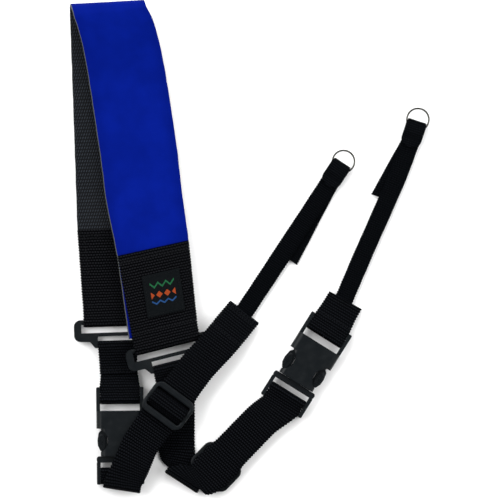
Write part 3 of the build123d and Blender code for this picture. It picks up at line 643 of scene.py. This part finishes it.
def make_lining():
    low, high = -PAD_T / 2 - LINING_T / 2, -PAD_T / 2 + LINING_T / 2 - 0.02
    pad_layer("grip_lining_finished", low, high, 0.1, 0.0, [GRIP], None,
              "pad_grip_lining")


make_pad()
make_lining()


# ================================================================ sleeves
def sleeve_stations(top, bar, turn, roll):
    share = WIDE_END / WIDE
    middle = station(sleeve_foot(bar, turn), turn, roll, share)
    stations = [lifted(top, -SLEEVE_LIFT), lifted(middle, -WIDE_WRAP_R)]
    stations += turned(bar, WIDE_WRAP_R, turn, -90, 90, roll=roll, width=share)
    return stations + [lifted(middle, WIDE_WRAP_R), lifted(top, SLEEVE_LIFT)]


for which, laid in (
    ("back_sleeve", sleeve_stations(BACK_SLEEVE_TOP, BACK_REDUCER, BACK_TURN, 0)),
    ("front_sleeve", sleeve_stations(FRONT_SLEEVE_TOP, FRONT_REDUCER, FRONT_TURN, FRONT_ROLL)),
):
    webbing(which + "_webbing", laid, WIDE, [which], "pad", WIDE_T, 0.36, 16, SLEEVE_WEB)


# ================================================================ arm webbing
SPREAD, SLIDER_SPREAD = 1.075, 1.09        # webbing spreads to fill the frames it goes through


def ladder_place(buckle, turn, along):
    return buckle - down_of(turn) * along


def over_outer(buckle, turn, bar, way, layer):
    outer = bar + way * (BAR_W / 2 + OUTER_GAP + OUTER_W / 2)
    z = buckle[2] - OUTER_DROP + OUTER_T / 2 + GAP + WEB_T / 2 + layer * PLY
    pair = [beside(buckle, turn, outer + end * way * OUTER_W / 2, z) for end in (-1, 1)]
    for there in pair:
        there[5] = SPREAD
    return pair


def spread(slider, turn, along, z):
    """The webbing at its widest, where it fills a slider."""
    there = beside(slider, turn, along, z)
    there[5] = SLIDER_SPREAD
    return there


def back_tether():
    narrow_bar = BACK_REDUCER - down_of(BACK_TURN) * NARROW_BAR_Y
    bar = ladder_place(BACK_BUCKLE, BACK_BUCKLE_TURN, SOCKET_BAR)
    lower = over_outer(BACK_BUCKLE, BACK_BUCKLE_TURN, SOCKET_BAR, 1, 0)
    upper = over_outer(BACK_BUCKLE, BACK_BUCKLE_TURN, SOCKET_BAR, 1, 1)
    return [
        at(-90.9, -85.6, LOW + 2 * PLY + 0.5, 1), at(-91.2, -78, LOW + 2 * PLY + 0.1, 2),
        *turned(narrow_bar, WRAP_R, BACK_TURN, 90, 270, width=SPREAD),
        at(-91.0, -74, LOW, 1.5), at(-90.4, -86, LOW, 1), lower[1], lower[0],
        *turned(bar, WRAP_R, BACK_BUCKLE_TURN, -90, 90, width=SPREAD), upper[0], upper[1],
        at(-90.3, -85.0, LOW + PLY + 0.1, 1), at(-90.8, -74.5, LOW + PLY, 1.5),
    ]


def back_strap():
    turn, slider = BACK_BUCKLE_TURN, (BACK_SLIDER, BACK_SLIDER_TURN)
    bar = ladder_place(BACK_BUCKLE, turn, PLUG_BAR)
    inner = over_outer(BACK_BUCKLE, turn, PLUG_BAR, -1, 0)
    outer = over_outer(BACK_BUCKLE, turn, PLUG_BAR, -1, 1)
    fold_z = outer[0][2] + 1.8
    fold = np.array([-88.0, -161.8, fold_z])
    inner_r = fold_z - outer[0][2]
    outer_r = inner_r + PLY
    return [
        spread(*slider, 2.0, BRIDGE_A), spread(*slider, -8.0, BRIDGE_A), beside(*slider, -16.0, BRIDGE_A),
        at(-75.6, -133.6, BRIDGE_A, -32), at(-81.6, -148.2, BRIDGE_A, -24),
        at(-85.3, -156.0, fold_z + inner_r + 0.4, -16),
        *turned(fold, inner_r, -9.0, 90, -90), outer[1], outer[0],
        *turned(bar, WRAP_R, turn, 90, 270, width=SPREAD), inner[0], inner[1],
        *turned(fold, outer_r, -9.0, -90, 90), at(-85.3, -156.0, fold_z + outer_r + 0.4, -16),
        at(-81.6, -148.2, BRIDGE_B, -24), at(-75.6, -133.6, BRIDGE_B, -32),
        beside(*slider, -16.0, BRIDGE_B), spread(*slider, -8.0, BRIDGE_B), spread(*slider, 8.0, BRIDGE_B),
        beside(*slider, 16.0, BRIDGE_B), beside(*slider, 34.0, BRIDGE_B),
        at(-21.0, -63.8, BRIDGE_B - 1.9, -38), at(-11.0, -51.6, 6.6, -38.3),
        at(-3.7, -42.7, LOW + 2 * PLY, -38.3),
    ]


def front_strap():
    narrow_bar = FRONT_REDUCER - down_of(FRONT_TURN) * NARROW_BAR_Y
    turn, slider = FRONT_BUCKLE_TURN, (FRONT_SLIDER, FRONT_SLIDER_TURN)
    bar = ladder_place(FRONT_BUCKLE, turn, PLUG_BAR)
    lower = over_outer(FRONT_BUCKLE, turn, PLUG_BAR, -1, 0)
    upper = over_outer(FRONT_BUCKLE, turn, PLUG_BAR, -1, 1)
    run_a = FRONT_SLIDER[2] + SLIDER_T / 2 + GAP + WEB_T / 2
    run_b = run_a + PLY
    run_x = -51.0         # middle of the stretch that comes straight down
    loose = np.array([run_x + 5.4, -157.4, (run_b + LOW) / 2])
    return [
        at(run_x, -101.0, 2.6, 6, 2), at(run_x - 0.9, -92.5, 5.4, 10, 4),
        *turned(narrow_bar, WRAP_R, FRONT_TURN, 270, 90, roll=FRONT_ROLL, width=SPREAD),
        at(run_x - 0.6, -92.0, 7.8, 10, 4), at(run_x + 0.1, -103.0, 4.2, 6, 2),
        at(run_x + 0.1, -116.0, LOW + 0.6, 1), at(run_x, -136.0, LOW, -2), at(run_x + 1.4, -148.0, LOW, -14),
        *turned(loose, loose[2] - LOW, -33, -90, 90, width=1.03),
        at(run_x + 13.4, -158.4, run_b, -58, 0, 1.03), beside(*slider, -12.0, run_b),
        spread(*slider, -7.0, run_b), spread(*slider, 7.0, run_b),
        beside(*slider, 14.0, run_b), beside(*slider, 46.0, run_b),
        upper[1], upper[0], *turned(bar, WRAP_R, turn, 90, 270, width=SPREAD), lower[0], lower[1],
        beside(*slider, 46.0, run_a), beside(*slider, 14.0, run_a),
        spread(*slider, 7.0, run_a), spread(*slider, -3.0, run_a),
    ]


def front_tether():
    turn = FRONT_BUCKLE_TURN
    bar = ladder_place(FRONT_BUCKLE, turn, SOCKET_BAR)
    lower = over_outer(FRONT_BUCKLE, turn, SOCKET_BAR, 1, 0)
    upper = over_outer(FRONT_BUCKLE, turn, SOCKET_BAR, 1, 1)
    return [
        at(66.0, -34.6, LOW, -29), at(61.6, -42.2, LOW + 0.1, -30), lower[1], lower[0],
        *turned(bar, WRAP_R, turn, -90, 90, width=SPREAD), upper[0], upper[1],
        at(61.6, -42.2, LOW + 2 * PLY + 0.1, -30),
        at(66.0, -34.6, LOW + 2 * PLY, -29),
    ]


def end_loop(origin, turn, way):
    top = SLIDER_T / 2 + GAP + WEB_T / 2
    foot = SLIDER_T / 2 - WEB_T / 2
    half = SLIDER_BAR / 2
    slope = [(half + 2.6, -foot), (half + 1.9, 0.6), (half + 1.0, top - 0.5), (half, top)]
    profile = slope + [(-along, height) for along, height in slope[::-1]]
    return [spread(origin, turn, along, origin[2] + way * height) for along, height in profile]


for which, laid, body in (
    ("back_tether", back_tether(), "pad"), ("back_strap", back_strap(), "back_arm"),
    ("front_strap", front_strap(), "pad"), ("front_tether", front_tether(), "front_upper_strap"),
):
    webbing(which + "_webbing", laid, WEB, [which], body)
for which, laid in (
    ("back_slider", end_loop(BACK_SLIDER, BACK_SLIDER_TURN, 1)),
    ("front_slider", end_loop(FRONT_SLIDER, FRONT_SLIDER_TURN, -1)),
):
    webbing(which + "_strap_end", laid, WEB, [which + "_loop"], which)


# ================================================================ stitching
def stitch_tree():
    """A stitch of thread laid at even spacing along every seam line."""
    tree = bpy.data.node_groups.new("Seam stitches", "GeometryNodeTree")
    tree.interface.new_socket("Seams", in_out="INPUT", socket_type="NodeSocketGeometry")
    for label, value in (("Spacing", 2.6 * MM), ("Stitch length", 2.0 * MM), ("Thread thickness", 0.5 * MM)):
        tree.interface.new_socket(label, in_out="INPUT", socket_type="NodeSocketFloat").default_value = value
    tree.interface.new_socket("Seed", in_out="INPUT", socket_type="NodeSocketInt").default_value = 1
    tree.interface.new_socket("Stitches", in_out="OUTPUT", socket_type="NodeSocketGeometry")
    start, end = tree.nodes.new("NodeGroupInput"), tree.nodes.new("NodeGroupOutput")
    join = tree.links.new
    curve = tree.nodes.new("GeometryNodeMeshToCurve")
    join(start.outputs["Seams"], curve.inputs["Mesh"])
    even = tree.nodes.new("GeometryNodeResampleCurve")
    even.mode = "LENGTH"
    join(curve.outputs["Curve"], even.inputs["Curve"])
    join(start.outputs["Spacing"], even.inputs["Length"])
    bead = tree.nodes.new("GeometryNodeMeshIcoSphere")
    bead.inputs["Radius"].default_value = 0.5
    bead.inputs["Subdivisions"].default_value = 2
    jitter = tree.nodes.new("FunctionNodeRandomValue")
    jitter.inputs[2].default_value, jitter.inputs[3].default_value = 0.85, 1.12
    join(start.outputs["Seed"], jitter.inputs["Seed"])
    length = tree.nodes.new("ShaderNodeMath")
    length.operation = "MULTIPLY"
    join(start.outputs["Stitch length"], length.inputs[0])
    join(jitter.outputs[1], length.inputs[1])
    scale = tree.nodes.new("ShaderNodeCombineXYZ")
    join(length.outputs[0], scale.inputs[0])
    for i in (1, 2):
        join(start.outputs["Thread thickness"], scale.inputs[i])
    turn = tree.nodes.new("FunctionNodeAlignRotationToVector")
    turn.axis = "X"
    join(tree.nodes.new("GeometryNodeInputTangent").outputs[0], turn.inputs["Vector"])
    place = tree.nodes.new("GeometryNodeInstanceOnPoints")
    join(even.outputs["Curve"], place.inputs["Points"])
    join(bead.outputs["Mesh"], place.inputs["Instance"])
    join(turn.outputs[0], place.inputs["Rotation"])
    join(scale.outputs[0], place.inputs["Scale"])
    real = tree.nodes.new("GeometryNodeRealizeInstances")
    join(place.outputs[0], real.inputs[0])
    finish = tree.nodes.new("GeometryNodeSetMaterial")
    finish.inputs["Material"].default_value = THREAD
    join(real.outputs[0], finish.inputs["Geometry"])
    join(finish.outputs[0], end.inputs[0])
    return tree


STITCH_TREE = stitch_tree()


def stitches(name, seams, body, spacing, length, thick, seed):
    """Sews every seam, a list of points in millimetres, and leaves a plain mesh."""
    points, edges = [], []
    for seam in seams:
        first = len(points)
        points += [tuple(np.asarray(p) * MM) for p in seam]
        edges += [(i, i + 1) for i in range(first, len(points) - 1)]
    mesh = bpy.data.meshes.new(name)
    mesh.from_pydata(points, edges, [])
    made = placed(name, mesh)
    sew = made.modifiers.new("Sew", "NODES")
    sew.node_group = STITCH_TREE
    wanted = {"Spacing": spacing * MM, "Stitch length": length * MM, "Thread thickness": thick * MM,
              "Seed": seed}
    for item in STITCH_TREE.interface.items_tree:
        if item.item_type == "SOCKET" and item.in_out == "INPUT" and item.name in wanted:
            sew[item.identifier] = wanted[item.name]
    bpy.context.view_layer.update()
    sewn = bpy.data.meshes.new_from_object(made.evaluated_get(bpy.context.evaluated_depsgraph_get()))
    made.modifiers.clear()
    made.data = sewn
    sewn.polygons.foreach_set("use_smooth", [True] * len(sewn.polygons))
    if body:
        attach(made, body)
    return made


def row(lay_name, half, place_a, place_b, height, steps=24):
    """A seam from one (distance, across) to another on a strap's face.

    A distance below 0 counts from the strap's end."""
    lay = LAYS[lay_name]
    (s0, u0), (s1, u1) = [(s if s >= 0 else lay.s[-1] + s, u) for s, u in (place_a, place_b)]
    shares = [i / steps for i in range(steps + 1)]
    return [lay.point(s0 + (s1 - s0) * t, u0 + (u1 - u0) * t, height, half) for t in shares]


def cross_rows(lay_name, half, distances, u, height):
    """Seams straight across a strap."""
    return [row(lay_name, half, (s, -u), (s, u), height) for s in distances]


def box_rows(lay_name, half, s0, s1, u, height):
    corners = [(s0, -u), (s0, u), (s1, u), (s1, -u), (s0, -u)]
    return [row(lay_name, half, a, b, height) for a, b in zip(corners, corners[1:])]


# ================================================================ ring straps
def ring_strap(name, points, tail_length, tail_offset, ring, turn, nodes):
    """The narrow strap runs up, folds round the ring and comes back as the tail, one length of webbing."""
    start = ring + down_of(turn) * (FOLD_INSET + LOOP_LEN)
    upper_z = RING_Z + WIRE_R + GAP + WEB_T / 2
    fold_r = (upper_z - LOW) / 2
    straight = LOOP_LEN - fold_r - WEB_T / 2
    fold = start - down_of(turn) * straight + np.array([0.0, 0.0, LOW + fold_r])
    tail_start = start + down_of(turn) * (0.4 + tail_length)
    stations = [
        beside(tail_start, turn, 0, LOW, turn - 1.5, tail_offset),
        *[beside(start, turn, along, LOW) for along in (-0.4, 0, straight - 0.5)],
        *turned(fold, fold_r, turn, 270, 90), beside(start, turn, 5.4, upper_z),
        beside(start, turn, 2.0, LOW + PLY), beside(start, turn, -0.4, LOW + PLY), *points[::-1],
    ]
    made = webbing(name, stations, NARROW, [], None, WEB_T, 0.24, 6, NARROW_WEB)
    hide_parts(*nodes)
    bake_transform(made)

    tab = [lifted(beside(start, turn, along, z), PLY)
           for along, z in ((straight + 0.6, upper_z - 0.5), (6.4, upper_z), (2.0, LOW + PLY))]
    for i in range(TAB_STEPS + 1):
        share = i / TAB_STEPS
        end = lifted(beside(start, turn, 1.5 - TAB_END * share, LOW + PLY), PLY)
        end[5] = math.sqrt(max(1.0 - share ** 2, 0.02))
        tab.append(end)
    tab_name = name.replace("strap", "tab")
    flap = webbing(tab_name, tab, NARROW * 1.12, [], None, WEB_T, 0.1, 6, LIT_TAB_WEB, 0.6)
    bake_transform(flap)
    rows = cross_rows(tab_name, NARROW / 2, (3.2, 4.6, 10.4, 11.8), 0.85, WEB_T / 2 + 0.06)
    seam = stitches(name.replace("strap", "tab_stitching"), rows, None, 1.5, 1.3, 0.45, 8)
    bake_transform(seam)


ring_strap(
    "back_ring_strap",
    [at(-15.5, -59.8, LOW + 3.6, BACK_RING_TURN - 3), at(-6.5, -46.6, LOW + PLY, BACK_RING_TURN - 1),
     at(6.5, -27.0, LOW + PLY, BACK_RING_TURN)],
    61.0, 6.2, BACK_RING, BACK_RING_TURN,
    ["back_narrow_strap", "back_ring_loop"],
)
ring_strap(
    "front_ring_strap",
    [at(62.0, -41.4, LOW + PLY, -27), at(65.9, -31.8, LOW + PLY, -24), at(78.0, -3.5, LOW + PLY, -24),
     at(101.6, 49.6, LOW + PLY, -22)],
    43.0, -8.2, FRONT_RING, FRONT_RING_TURN,
    ["front_narrow_strap", "front_ring_loop"],
)


# ================================================================ label
def label_material():
    """Damask-woven patch: a green zigzag, a row of orange lozenges and a blue zigzag on black."""
    made, tree, shader = new_material("Woven label", Specular_IOR_Level=0.04, Roughness=0.5)
    lay = surface_uv(tree)
    x, y = across_and_along(tree, lay)
    pitch = 5.6               # of the zigzags and the lozenges
    turn = off_middle(tree, sums(tree, "ADD", sums(tree, "DIVIDE", x, pitch), 0.5))
    inside = sums(tree, "LESS_THAN", sums(tree, "ABSOLUTE", x), 8.6)

    def zigzag(height, rise, thick):
        line = sums(tree, "MULTIPLY_ADD", turn, rise, height)
        away = sums(tree, "ABSOLUTE", sums(tree, "SUBTRACT", y, line))
        return sums(tree, "MULTIPLY", sums(tree, "LESS_THAN", away, thick), inside)

    across = sums(tree, "MULTIPLY", sums(tree, "SUBTRACT", 0.5, turn), pitch)
    along = sums(tree, "ABSOLUTE", sums(tree, "SUBTRACT", y, 14.4))
    lozenge = sums(tree, "LESS_THAN", sums(tree, "ADD", across, along), 2.3)
    lozenge = sums(tree, "MULTIPLY", lozenge, inside)
    ground = noise(tree, lay, 1.2, 3.0, 0.7)
    colour = blend_colour(tree, ground, (0.0006, 0.0011, 0.0016, 1), (0.0024, 0.0040, 0.0052, 1))
    colour = blend_colour(tree, zigzag(19.6, 6.0, 0.75), colour, (0.010, 0.085, 0.032, 1))
    colour = blend_colour(tree, lozenge, colour, (0.27, 0.043, 0.010, 1))
    colour = blend_colour(tree, zigzag(8.2, 4.0, 0.6), colour, (0.012, 0.05, 0.15, 1))
    pick = sums(tree, "SINE", sums(tree, "MULTIPLY", y, 14.0))
    warp = sums(tree, "SINE", sums(tree, "MULTIPLY", x, 12.0))
    cloth = sums(tree, "MULTIPLY_ADD", sums(tree, "MULTIPLY", pick, warp), 0.3, 0.8)
    shade = tree.nodes.new("ShaderNodeMix")
    shade.data_type, shade.blend_type = "RGBA", "MULTIPLY"
    feed(tree, shade.inputs[0], 1.0)
    feed(tree, shade.inputs[6], colour)
    joined = tree.nodes.new("ShaderNodeCombineColor")
    for i in range(3):
        feed(tree, joined.inputs[i], cloth)
    feed(tree, shade.inputs[7], joined.outputs[0])
    feed(tree, shader.inputs["Base Color"], shade.outputs[2])
    feed(tree, shader.inputs["Normal"], bump(tree, sums(tree, "ADD", cloth, ground), 0.0001))
    return made


def make_label():
    run = FRONT_REDUCER - FRONT_SLEEVE_TOP[:3]
    middle = FRONT_SLEEVE_TOP[:3] + run * LABEL_PLACE + np.array([LABEL_OFFSET, 0.0, 0.0])
    way = run / np.linalg.norm(run)
    rise = SLEEVE_LIFT + WIDE_T / 2 + LABEL_T / 2 + LABEL_GAP
    ends = [lifted(station(middle + way * (LABEL_LEN / 2 * end), LABEL_TURN, FRONT_ROLL), rise)
            for end in (1, -1)]
    made = webbing("sleeve_label_woven", ends, LABEL_W, ["sleeve_label"], "pad", 0.6, 0.0, 10,
                   label_material())


make_label()


# ================================================================ seams
def sew_sleeves():
    top = WIDE_T / 2 + 0.08
    seams = []
    for which, low in (("front_sleeve_webbing", -55.0), ("back_sleeve_webbing", -52.0)):
        seams += cross_rows(which, WIDE / 2, (-3.6, -5.6, low), 0.94, top)
    seams += [row("back_sleeve_webbing", WIDE / 2, (-6.0, -0.82), (-30.0, -0.78), top)]
    seams += cross_rows("back_sleeve_webbing", WIDE / 2, (3.6, 52.0), 0.94, top)
    seams += cross_rows("front_sleeve_webbing", WIDE / 2, (3.6, 55.0), 0.94, top)
    stitches("sleeve_stitching", seams, "pad", 2.7, 2.3, 0.6, 3)
    edge = box_rows("sleeve_label_woven", LABEL_W / 2, 1.5, -1.5, 0.88, 0.34)
    stitches("label_stitching", edge, "pad", 1.9, 1.5, 0.42, 4)


def sew_arms():
    top = WEB_T / 2 + 0.06
    for which, body, distances, seed in (
        ("back_tether", "pad", (1.6, 3.4, -1.6, -3.4), 5),
        ("back_strap", "back_arm", (-2.0, -4.0, -21.0), 6),
        ("front_tether", "front_upper_strap", (-1.8, -3.6, -16.0, 1.8, 16.0), 7),
    ):
        lay = which + "_webbing"
        seams = cross_rows(lay, WEB / 2, distances, 0.9, top)
        if which == "back_strap":
            seams += [row(lay, WEB / 2, (-4.0, u), (-21.0, u), top) for u in (-0.9, 0.9)]
        stitches(which + "_stitching", seams, body, 2.3, 1.9, 0.5, seed)


sew_sleeves()
sew_arms()


# ================================================================ hardware
def moulded(node, body):
    """The moulding with its sharp edges rounded off."""
    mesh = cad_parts[node].data.copy()
    mesh.name = node + "_moulding"
    build = bmesh.new()
    build.from_mesh(mesh)
    bmesh.ops.remove_doubles(build, verts=build.verts, dist=0.00001)
    bmesh.ops.dissolve_limit(build, angle_limit=math.radians(2.0), verts=build.verts, edges=build.edges)
    build.to_mesh(mesh)
    build.free()
    mesh.materials.clear()
    mesh.materials.append(PLASTIC)
    made = placed(mesh.name, mesh)
    soften = made.modifiers.new("Soft edges", "BEVEL")
    soften.width = EDGE_R * MM
    soften.segments = 2
    soften.limit_method = "ANGLE"
    soften.angle_limit = math.radians(35)
    even = made.modifiers.new("Even shading", "WEIGHTED_NORMAL")
    even.keep_sharp = True
    mesh.polygons.foreach_set("use_smooth", [True] * len(mesh.polygons))
    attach(made, body)
    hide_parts(node)


for part, owner in {
    "back_reducer": "pad", "front_reducer": "pad", "back_buckle_socket": "pad",
    "back_buckle_plug": "back_arm", "back_prong_left": "back_prong_left",
    "back_prong_right": "back_prong_right", "back_slider": "back_slider",
    "front_slider": "front_slider", "front_buckle_plug": "front_plug",
    "front_prong_left": "front_prong_left", "front_prong_right": "front_prong_right",
    "front_buckle_socket": "front_socket",
}.items():
    moulded(part, owner)


WING_ALONG, WING_OUT = 9.2, 12.5           # middle of a wing's pad, from the mouth and the middle
WING_HALF, WING_HALF_LEN = 2.6, 6.0


def wing_cap(name, buckle, turn, side, prong):
    """The release wing's pressed pad: a raised oval rim crossed by two ribs."""
    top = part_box(prong)[1].z / MM - 0.12
    across, down = side_of(turn), down_of(turn)
    centre = ladder_place(buckle, turn, WING_ALONG) + across * (side * WING_OUT) + SHIFT
    build = bmesh.new()

    def corner(place, height):
        return build.verts.new((place[0] * MM, place[1] * MM, (top + height) * MM))

    steps = 40
    angles = [2 * math.pi * i / steps for i in range(steps)]
    ring = [[corner(centre + across * (WING_HALF * grow * math.cos(a))
                    + down * (WING_HALF_LEN * grow * math.sin(a)), height) for a in angles]
            for grow, height in ((1.0, -0.6), (1.0, 0.4), (0.92, 0.6), (0.8, 0.6), (0.72, -0.3))]
    for a, b in zip(ring, ring[1:]):
        for i in range(steps):
            build.faces.new((a[i], a[(i + 1) % steps], b[(i + 1) % steps], b[i]))
    build.faces.new(ring[-1])
    build.faces.new(ring[0][::-1])
    for lean in (-1, 1):
        way = down * 4.3 + across * (lean * 1.4)
        off = np.cross(way / np.linalg.norm(way), [0, 0, 1.0]) * 0.34
        places = [centre + way * end + off * edge for end, edge in ((-1, -1), (1, -1), (1, 1), (-1, 1))]
        foot = [corner(place, -0.32) for place in places]
        crest = [corner(place, 0.45) for place in places]
        build.faces.new(crest)
        build.faces.new(foot[::-1])
        for i in range(4):
            build.faces.new((foot[i], foot[(i + 1) % 4], crest[(i + 1) % 4], crest[i]))
    bmesh.ops.recalc_face_normals(build, faces=build.faces)
    mesh = bpy.data.meshes.new(name)
    build.to_mesh(mesh)
    build.free()
    mesh.materials.append(PLASTIC)
    made = placed(name, mesh)
    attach(made, prong)


for end, buckle, turn in (
    ("back", BACK_BUCKLE, BACK_BUCKLE_TURN), ("front", FRONT_BUCKLE, FRONT_BUCKLE_TURN),
):
    for side, hand in ((-1, "left"), (1, "right")):
        wing_cap(end + "_wing_" + hand, buckle, turn, side, end + "_prong_" + hand)


def split_ring(name, ring, node, start_angle):
    """Two flat-sided turns of wire lying on each other."""
    turns, steps, around = 2.0, 160, 8
    half_high, half_wide = 0.36, WIRE_R - 0.06
    points, faces = [], []
    for i in range(steps + 1):
        a = math.radians(start_angle) + 2 * math.pi * turns * i / steps
        drop = 0.33 - 0.66 * min(max((i / steps - 0.42) / 0.16, 0.0), 1.0)
        taper = min(1.0, 0.35 + min(i, steps - i) / 6)
        out = np.array([math.cos(a), math.sin(a), 0.0])
        centre = ring + out * RING_R + np.array([0, 0, RING_Z + drop])
        for k in range(around):
            t = 2 * math.pi * k / around
            rise = np.array([0, 0, math.sin(t) * half_high * taper])
            points.append(centre + out * (math.cos(t) * half_wide * taper) + rise + SHIFT)
    for i in range(steps):
        for k in range(around):
            a, b = i * around + k, i * around + (k + 1) % around
            faces.append([a, a + around, b + around, b])
    faces += [list(range(around)), [steps * around + k for k in range(around)][::-1]]
    made = mesh_object(name, points, faces, None, [METAL])
    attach(made, node)
    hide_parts(node)


split_ring("back_split_ring", BACK_RING, "back_ring", 62.0)
split_ring("front_split_ring", FRONT_RING, "front_ring", 75.0)


# ================================================================ floor, light and camera
CAMERA_HEIGHT, FOCUS_HEIGHT, VIEW_WIDTH = 3.0, 0.006, 0.345      # metres


def make_floor():
    made, tree, shader = new_material("Pale floor", Roughness=0.9, Specular_IOR_Level=0.1)
    tone = noise(tree, object_place(tree), 60.0, 3.0)
    colour = blend_colour(tree, tone, (0.88, 0.88, 0.88, 1), (0.91, 0.91, 0.91, 1))
    feed(tree, shader.inputs["Base Color"], colour)
    bpy.ops.mesh.primitive_plane_add(size=6.0, location=(0, 0, -0.0004))
    floor = bpy.context.object
    floor.name = "Floor"
    floor.data.materials.append(made)


def soft_light(name, place, size, power):
    data = bpy.data.lights.new(name, "AREA")
    data.shape, data.size, data.size_y, data.energy = "RECTANGLE", size[0], size[1], power
    made = placed(name, data)
    made.location = place
    made.rotation_euler = (-Vector(place)).to_track_quat("-Z", "Y").to_euler()


def make_studio():
    scene = bpy.context.scene
    world = bpy.data.worlds.new("Studio")
    scene.world = world
    world.use_nodes = True
    world.node_tree.nodes["Background"].inputs[0].default_value = (1, 1, 1, 1)
    world.node_tree.nodes["Background"].inputs[1].default_value = 0.38
    soft_light("Left light", (-1.3, 0.5, 1.3), (1.5, 1.5), 42.0)
    soft_light("Right light", (1.4, 0.2, 1.1), (1.5, 1.5), 31.0)
    soft_light("Far light", (0.1, 1.6, 1.2), (1.9, 1.1), 34.0)
    camera = bpy.data.cameras.new("Camera")
    holder = placed("Camera", camera)
    holder.location = (SHIFT[0] * MM, SHIFT[1] * MM, CAMERA_HEIGHT)
    camera.sensor_width = 36.0
    camera.lens = camera.sensor_width * (CAMERA_HEIGHT - FOCUS_HEIGHT) / VIEW_WIDTH
    camera.clip_end = 20.0
    scene.camera = holder
    scene.view_settings.view_transform = "Standard"
    scene.view_settings.look = "None"
    scene.render.resolution_x = 500
    scene.render.resolution_y = 500


make_floor()
make_studio()
